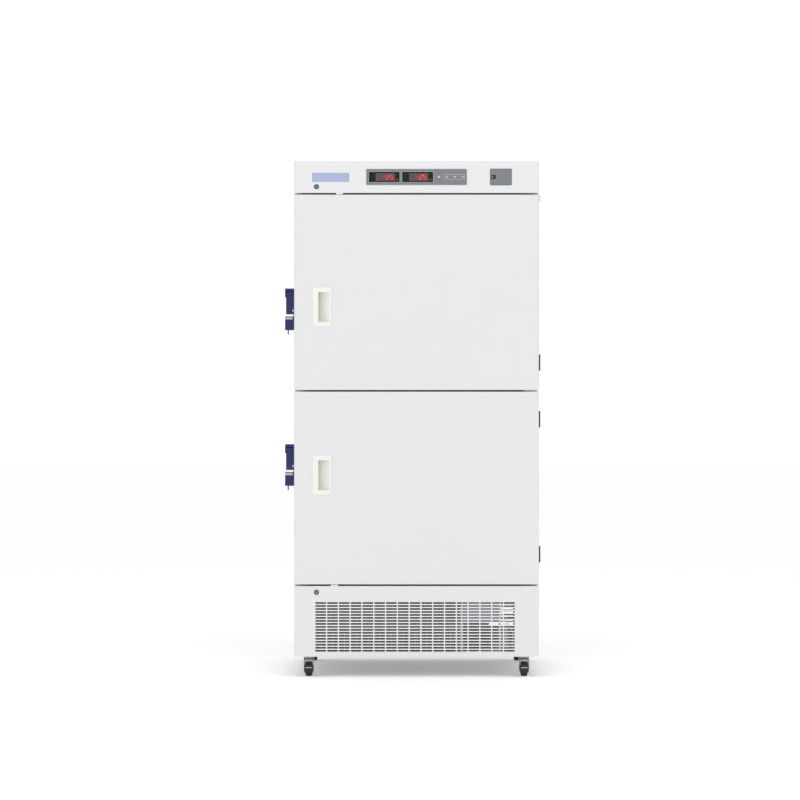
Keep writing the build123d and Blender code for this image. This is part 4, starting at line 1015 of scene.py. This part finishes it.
@dataclass
class ControlFace:
    """The bezel with its windows, displays, buttons and marks."""

    digit_height: float = 15.0
    digit_width: float = 8.6
    digit_pitch: float = 12.4
    stroke: float = 1.9
    reading: str = "-25"
    proud: float = 0.25

    SEGMENTS = {"-": "g", "2": "abged", "5": "afgcd"}

    def build(self) -> None:
        """Dress the bezel and add everything on it."""
        Dressed("control_bezel", BEZEL, 0.5).build()
        Dressed("display_windows", SMOKE, 0.15).build()
        Dressed("controller_board", BOARD, 0.2).build()
        for index in range(1, 5):
            Dressed(f"control_button_{index}", BUTTON, 0.5).build()
        low, high = span("control_bezel")
        self.face = low.y
        self.middle = (low.z + high.z) / 2
        windows = self._windows()
        self._frames(windows)
        for side, window in zip(("left", "right"), windows):
            self._display(side, window)
        self._marks()

    def _windows(self) -> list[Pair]:
        """The left and right limits of each window."""
        low, high = span("display_windows")
        width = 105.0
        return [(low.x, low.x + width), (high.x - width, high.x)]

    def _frames(self, windows: list[Pair]) -> None:
        """Add the pale line round each window."""
        frames = Form()
        for left, right in windows:
            frames.panel(
                View.FRONT, (left - 1.6, self.middle - 19.2), (right + 1.6, self.middle + 19.2),
                (self.face + 0.1, self.face - self.proud), 0.6, 0.1, 1.5,
            )
        frames.piece("window_frames", FRAME_LINE, "cabinet")

    def _display(self, side: str, window: Pair) -> None:
        """Add one display's filter, digits and lamp.

        Args:
            side: Which display it is.
            window: The window's left and right limits.
        """
        glass_back = span("display_windows")[1].y
        centre = sum(window) / 2
        screen = (centre - 29.0, centre + 36.0)
        filter_y = (glass_back + 0.9, glass_back + 0.3)
        low, high = (screen[0], self.middle - 13.0), (screen[1], self.middle + 13.0)
        # The filter's even pink glow is painted light; the digits and the small lamp are the lit parts.
        form = Form().panel(View.FRONT, low, high, filter_y, 0.8, 0.2)
        form.piece(f"{side}_display_filter", SCREEN, "cabinet")
        digits = Form()
        start = screen[1] - 4.0 - len(self.reading) * self.digit_pitch
        for index, sign in enumerate(self.reading):
            self._digit(digits, sign, start + index * self.digit_pitch, glass_back + 0.3)
        digits.piece(f"{side}_display_digits", LED, "cabinet")
        lamp = Form().panel(
            View.FRONT, (screen[1] + 1.0, self.middle - 12.5), (screen[1] + 13.0, self.middle - 5.5),
            (glass_back + 0.9, glass_back + 0.2), 1.6, 0.2,
        )
        lamp.piece(f"{side}_display_lamp", LENS, "cabinet")

    def _digit(self, form: Form, sign: str, left: float, plane: float) -> None:
        """Add the lit bars of one digit.

        Args:
            form: The form to add them to.
            sign: The digit.
            left: The digit's left limit.
            plane: The Y of the surface that it stands on.
        """
        right, half = left + self.digit_width, self.digit_height / 2
        low, high, thick = self.middle - half, self.middle + half, self.stroke
        bars = {
            "a": ((left, high - thick), (right, high)), "d": ((left, low), (right, low + thick)),
            "g": ((left, self.middle - thick / 2), (right, self.middle + thick / 2)),
            "f": ((left, self.middle), (left + thick, high)),
            "b": ((right - thick, self.middle), (right, high)),
            "e": ((left, low), (left + thick, self.middle)),
            "c": ((right - thick, low), (right, self.middle)),
        }
        for bar in self.SEGMENTS[sign]:
            (x_low, z_low), (x_high, z_high) = bars[bar]
            gap = 0.25
            corners = (x_low + gap, z_low + gap), (x_high - gap, z_high - gap)
            form.panel(View.FRONT, *corners, (plane, plane - 0.2), 0.3)

    def _marks(self) -> None:
        """Add the printed dots, arrows and ring on the buttons, and the outline round three of them."""
        marks = Form()
        buttons = [span(f"control_button_{index}") for index in range(1, 5)]
        places = [(low.x + high.x) / 2 for low, high in buttons]
        cap = span("control_button_1")[0].y
        print_y = (cap + 0.1, cap - 0.02)
        for x in (-2.4, 2.4):
            for z in (-2.2, 2.2):
                marks.panel(
                    View.FRONT, (places[0] + x - 1.5, self.middle + z - 1.4),
                    (places[0] + x + 1.5, self.middle + z + 1.4), print_y, 0.3,
                )
        for place, way in ((places[1], 1.0), (places[2], -1.0)):
            points = [(place - 3.2, self.middle - way * 2.0), (place + 3.2, self.middle - way * 2.0),
                      (place, self.middle + way * 2.8)]
            marks.slab(View.FRONT, points, print_y)
        marks.turned(
            (places[3], cap + 0.05, self.middle), (0, -1, 0),
            [(2.2, 0), (3.1, 0), (3.1, 0.07), (2.2, 0.07)], sides=24, closed=True,
        )
        marks.piece("button_marks", PRINT, "cabinet")
        outline = Form().panel(
            View.FRONT, (places[1] - 12.8, self.middle - 8.4), (places[3] + 7.6, self.middle + 8.8),
            (self.face + 0.05, self.face - 0.15), 4.5, 0.0, 0.8,
        )
        outline.piece("button_outline", PRINT, "cabinet")


@dataclass
class PowerPlate:
    """The plate with the power rocker."""

    # Width of the darker rim that paints shade just inside the plate's edge.
    shade_rim: float = 1.8

    def build(self) -> None:
        """Dress the plate and mark its rocker."""
        Dressed("power_plate", PLATE, 0.5).build()
        Dressed("power_rocker", ROCKER, 0.3).build()
        low, high = span("power_plate")
        # Darker grey rim just inside the plate's edge: painted shade along the edge.
        rim = Form().panel(
            View.FRONT, (low.x + 0.8, low.z + 0.8), (high.x - 0.8, high.z - 0.8),
            (low.y + 0.05, low.y - 0.12), 2.4, 0.0, self.shade_rim,
        )
        rim.piece("power_plate_border", SHADE, "cabinet")
        rocker = span("power_rocker")
        middle = (rocker[0].z + rocker[1].z) / 2
        surround = Form().panel(
            View.FRONT, (rocker[0].x - 2.2, middle - 7.6), (rocker[1].x + 2.2, middle + 7.6),
            (low.y + 0.05, low.y - 0.4), 1.2, 0.2, 1.7,
        )
        surround.piece("rocker_surround", ROCKER, "cabinet")
        self._mark(rocker, middle)

    def _mark(self, rocker: tuple[Vector, Vector], middle: float) -> None:
        """Add the pale oval on the rocker's face.

        Args:
            rocker: The rocker's corners.
            middle: Its height.
        """
        mark = Form()
        left = (rocker[0].x + rocker[1].x) / 2 - 3.2
        profile = [(1.1, 0), (1.9, 0), (1.9, 0.2), (1.1, 0.2)]
        mark.turned((left, rocker[0].y + 0.35, middle), (0, -1, 0), profile, 20, True)
        mark.piece("rocker_mark", PRINT, body_of("power_rocker"))


@dataclass
class Badge:
    """The bare plate at the header's left."""

    low: Pair = (-355.0, 1683.5)
    high: Pair = (-229.0, 1713.5)
    sheet: float = 0.9

    def build(self) -> None:
        """Make the plate with its turned rim."""
        face = span("header_fascia")[0].y
        plate = Form().panel(View.FRONT, self.low, self.high, (face + 0.05, face - self.sheet), 2.0, 0.35)
        plate.piece("bare_plate", NAMEPLATE, "cabinet")
        low, high = (self.low[0] + 1.2, self.low[1] + 1.2), (self.high[0] - 1.2, self.high[1] - 1.2)
        depth = (face - self.sheet + 0.05, face - self.sheet - 0.15)
        rim = Form().panel(View.FRONT, low, high, depth, 1.4, 0.0, 0.5)
        rim.piece("bare_plate_rim", FRAME_LINE, "cabinet")


@dataclass
class MachineRoom:
    """What shows through the base's slots and vents."""

    fin_pitch: float = 4.4
    fin_sheet: float = 0.25
    # Top and thickness of the near-black sheet that paints shade over the coil's lower rows.
    shade_sheet_top: float = 150.0
    shade_sheet_depth: float = 2.4
    rib_pitch: float = 40.1
    rib_width: float = 2.2

    def build(self) -> None:
        """Dress the machine room."""
        for node, finish, ease in (
            ("condenser_coil", COIL, 0.0), ("fan_shroud", ZINC, 0.3), ("fan_motor", MOTOR, 0.8),
            ("fan_blade", FAN, 0.3), ("compressor", MOTOR, 0.8), ("electrical_box", BOX, 0.6),
        ):
            Dressed(node, finish, ease).build()
        self._fins()
        self._lines()
        self._wires()

    def _fins(self) -> None:
        """Fill the coil with its fine slanted fins, and stand a near-black sheet with pale ribs in front of
        the lower rows: the sheet is painted shade.
        """
        low, high = span("condenser_coil")
        fins = Form()
        lean = self.fin_pitch * 1.1
        count = int((high.x - low.x - 16.0) / self.fin_pitch)
        for index in range(1, count):
            x = low.x + 3.0 + index * self.fin_pitch
            points = [(x, low.y + 1.0), (x + self.fin_sheet, low.y + 1.0),
                      (x + self.fin_sheet + lean, high.y - 1.0), (x + lean, high.y - 1.0)]
            fins.slab(View.PLAN, points, (low.z + 1.0, high.z - 1.0))
        fins.piece("fine_fins", COIL, "cabinet")
        # Near-black sheet over the coil's lower rows: painted shade, not a part of the freezer.
        front = low.y - 1.0
        shade_sheet = Form().block(
            (low.x + 14.0, front - self.shade_sheet_depth, low.z + 1.0), (high.x - 2.0, front, self.shade_sheet_top), 0.4
        )
        shade_sheet.piece("coil_shade_sheet", DARK, "cabinet")
        ribs = Form()
        for index in range(int((high.x - low.x) / self.rib_pitch)):
            x = low.x + 0.45 * self.rib_pitch + index * self.rib_pitch
            depth = (front - self.shade_sheet_depth - 1.0, front - self.shade_sheet_depth)
            ribs.block((x, depth[0], low.z + 2.0), (x + self.rib_width, depth[1], self.shade_sheet_top - 1.0), 0.3)
        ribs.piece("shade_sheet_ribs", FRAME_LINE, "cabinet")

    def _lines(self) -> None:
        """Add smooth copper lines, with the coil's bends."""
        low, high = span("refrigerant_lines")
        coil_low, coil_high = span("condenser_coil")
        compressor_low, compressor_high = span("compressor")
        lines = Form()
        depth = (coil_low.y + coil_high.y) / 2
        inlet = coil_high.x - 14.0
        centre_y = (compressor_low.y + compressor_high.y) / 2
        top = compressor_high.z
        rise = (top + high.z) / 2
        lines.pipe(
            [(inlet, centre_y, top - 4.0), (inlet, centre_y, rise), (inlet, depth, rise),
             (inlet, depth, coil_high.z - 1.0)],
            3.9, 10.0, 16, 7,
        )
        centre_x = (compressor_low.x + compressor_high.x) / 2
        lines.rod((centre_x + 42.0, centre_y, top - 4.0), (centre_x + 42.0, centre_y, high.z), 3.9, 0.0, 16)
        pass_z = low.z + 4.0
        drier_x, drier_y = low.x + 11.0, coil_high.y + 22.0
        lines.pipe(
            [(coil_low.x - 0.2, depth, pass_z), (drier_x, depth, pass_z), (drier_x, drier_y, pass_z),
             (drier_x, drier_y, pass_z + 30.0)],
            3.9, 10.0, 16, 7,
        )
        foot = pass_z + 24.0
        lines.turned(
            (drier_x, drier_y, foot), (0, 0, 1),
            [(0, -6), (4.2, -6), (4.6, 0), (11, 8), (11, 76), (4.6, 84), (4.2, 90), (0, 90)],
        )
        lines.rod((drier_x, drier_y, foot + 84.0), (drier_x, drier_y, high.z), 3.9, 0.0, 16)
        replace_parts(lines.piece("copper_lines", COPPER, "cabinet"), "refrigerant_lines")

    def _wires(self) -> None:
        """Add the white wires and strips at the relay box, and the compressor's terminal cover."""
        box_low, box_high = span("electrical_box")
        wires = Form()
        front = box_low.y - 3.0
        side = box_high.x - 3.0
        for index, level in enumerate((214.0, 206.0, 198.0)):
            reach = side + 24.0 - 5.0 * index
            wires.pipe(
                [(side, front + index, level), (side + 9.0, front + index, level - 3.0),
                 (reach, front + index, level - 16.0), (reach + 3.0, front + index, 96.0)], 1.1, 5.0, 8, 4
            )
        wires.pipe([(side, front + 4.0, 196.0), (312.0, front + 4.0, 182.0), (328.0, front + 4.0, 150.0),
                    (328.0, front + 4.0, 96.0)], 1.3, 6.0, 8, 4)
        wires.piece("white_wires", WIRE_WHITE, "cabinet")
        strips = Form()
        depth = (box_low.y - 5.0, box_low.y - 3.8)
        for left in (150.6, 281.0):
            strips.block((left, depth[0], box_low.z), (left + 7.0, depth[1], box_high.z - 1.0), 0.2)
        strips.block((157.6, depth[0], box_low.z), (281.0, depth[1], box_low.z + 4.0), 0.2)
        strips.piece("white_strips", WIRE_WHITE, "cabinet")
        low, high = span("compressor")
        middle = (low.x + high.x) / 2
        cover = Form().block((middle - 26.0, low.y - 6.0, 120.0), (middle + 26.0, low.y + 14.0, 176.0), 3.0, 3)
        cover.piece("terminal_cover", DARK, "cabinet")


@dataclass
class Caster:
    """One caster: fork, axle nuts, wheel and on a front caster the pedal; its plate is dressed with the
    others.
    """

    name: str
    wheel_radius: float = 25.0

    def build(self) -> None:
        """Dress the caster."""
        Dressed(f"{self.name}_fork", CHROME, 0.6, 3).build()
        self._wheel()
        self._fork_details()
        if self.name.startswith("front"):
            Dressed(f"{self.name}_pedal", PEDAL, 0.5, 2).build()
            self._pedal_highlight_bar()

    def _wheel(self) -> None:
        """Make the wheel with its crowned tread, rims and hub."""
        node = f"{self.name}_wheel"
        low, high = span(node)
        centre = (low + high) / 2
        half = (high.x - low.x) / 2
        radius = self.wheel_radius
        profile = [
            (3.1, -half), (9.0, -half), (10.0, -half + 1.6), (18.0, -half + 1.6), (19.5, -half + 0.2),
            (22.6, -half + 0.6), (radius - 0.6, -half + 2.6), (radius, -half + 5.0),
        ]
        profile += [(distance, -height) for distance, height in reversed(profile)]
        wheel = Form().turned(tuple(centre), (1, 0, 0), profile, 56, True)
        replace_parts(wheel.piece(f"{self.name}_tyre", RUBBER, body_of(node), 40.0), node)

    def _fork_details(self) -> None:
        """Add the axle's nuts."""
        low, high = span(f"{self.name}_fork")
        wheel = span(f"{self.name}_wheel")
        centre = (wheel[0] + wheel[1]) / 2
        details = Form()
        for x, way in ((low.x + 0.1, 1.0), (high.x - 0.1, -1.0)):
            profile = [(0, 0), (4.4, 0), (5.0, 0.8), (5.0, 2.0), (0, 2.0)]
            details.turned((x, centre.y, centre.z), (way, 0, 0), profile, 6)
        details.piece(f"{self.name}_axle_nuts", BRIGHT, body_of(f"{self.name}_fork"), 25.0)

    def _pedal_highlight_bar(self) -> None:
        """Add a pale raised bar across the pedal: its pale grey is a painted highlight on the ridge."""
        low, high = span(f"{self.name}_pedal")
        # Pale grey on the black pedal: painted highlight along its ridge.
        bar = Form().block((low.x + 4.0, low.y, 29.0), (high.x - 4.0, low.y + 2.0, 32.6), 0.5)
        bar.piece(f"{self.name}_pedal_highlight_bar", FRAME_LINE, body_of(f"{self.name}_pedal"))


@dataclass
class Freezer:
    """The whole freezer, built from its sub-assemblies in order."""

    def build(self) -> None:
        """Build every sub-assembly."""
        Cabinet().build()
        for name in ("upper", "lower"):
            Door(name).build()
            Latch(name).build()
        SideHinges().build()
        Dressed("lock_barrels", BARREL, 0.4).build()
        for name in ("header", "base"):
            KeyLock(name).build()
        ControlFace().build()
        PowerPlate().build()
        Badge().build()
        MachineRoom().build()
        Dressed("caster_plates", CHROME, 0.4).build()
        for row in ("front", "rear"):
            for hand in ("left", "right"):
                Caster(f"{row}_{hand}").build()


def main() -> None:
    """Build the freezer and its studio."""
    logging.basicConfig(level=logging.INFO, format="%(message)s")
    Freezer().build()
    Studio().build()


if __name__ == "__main__":
    main()
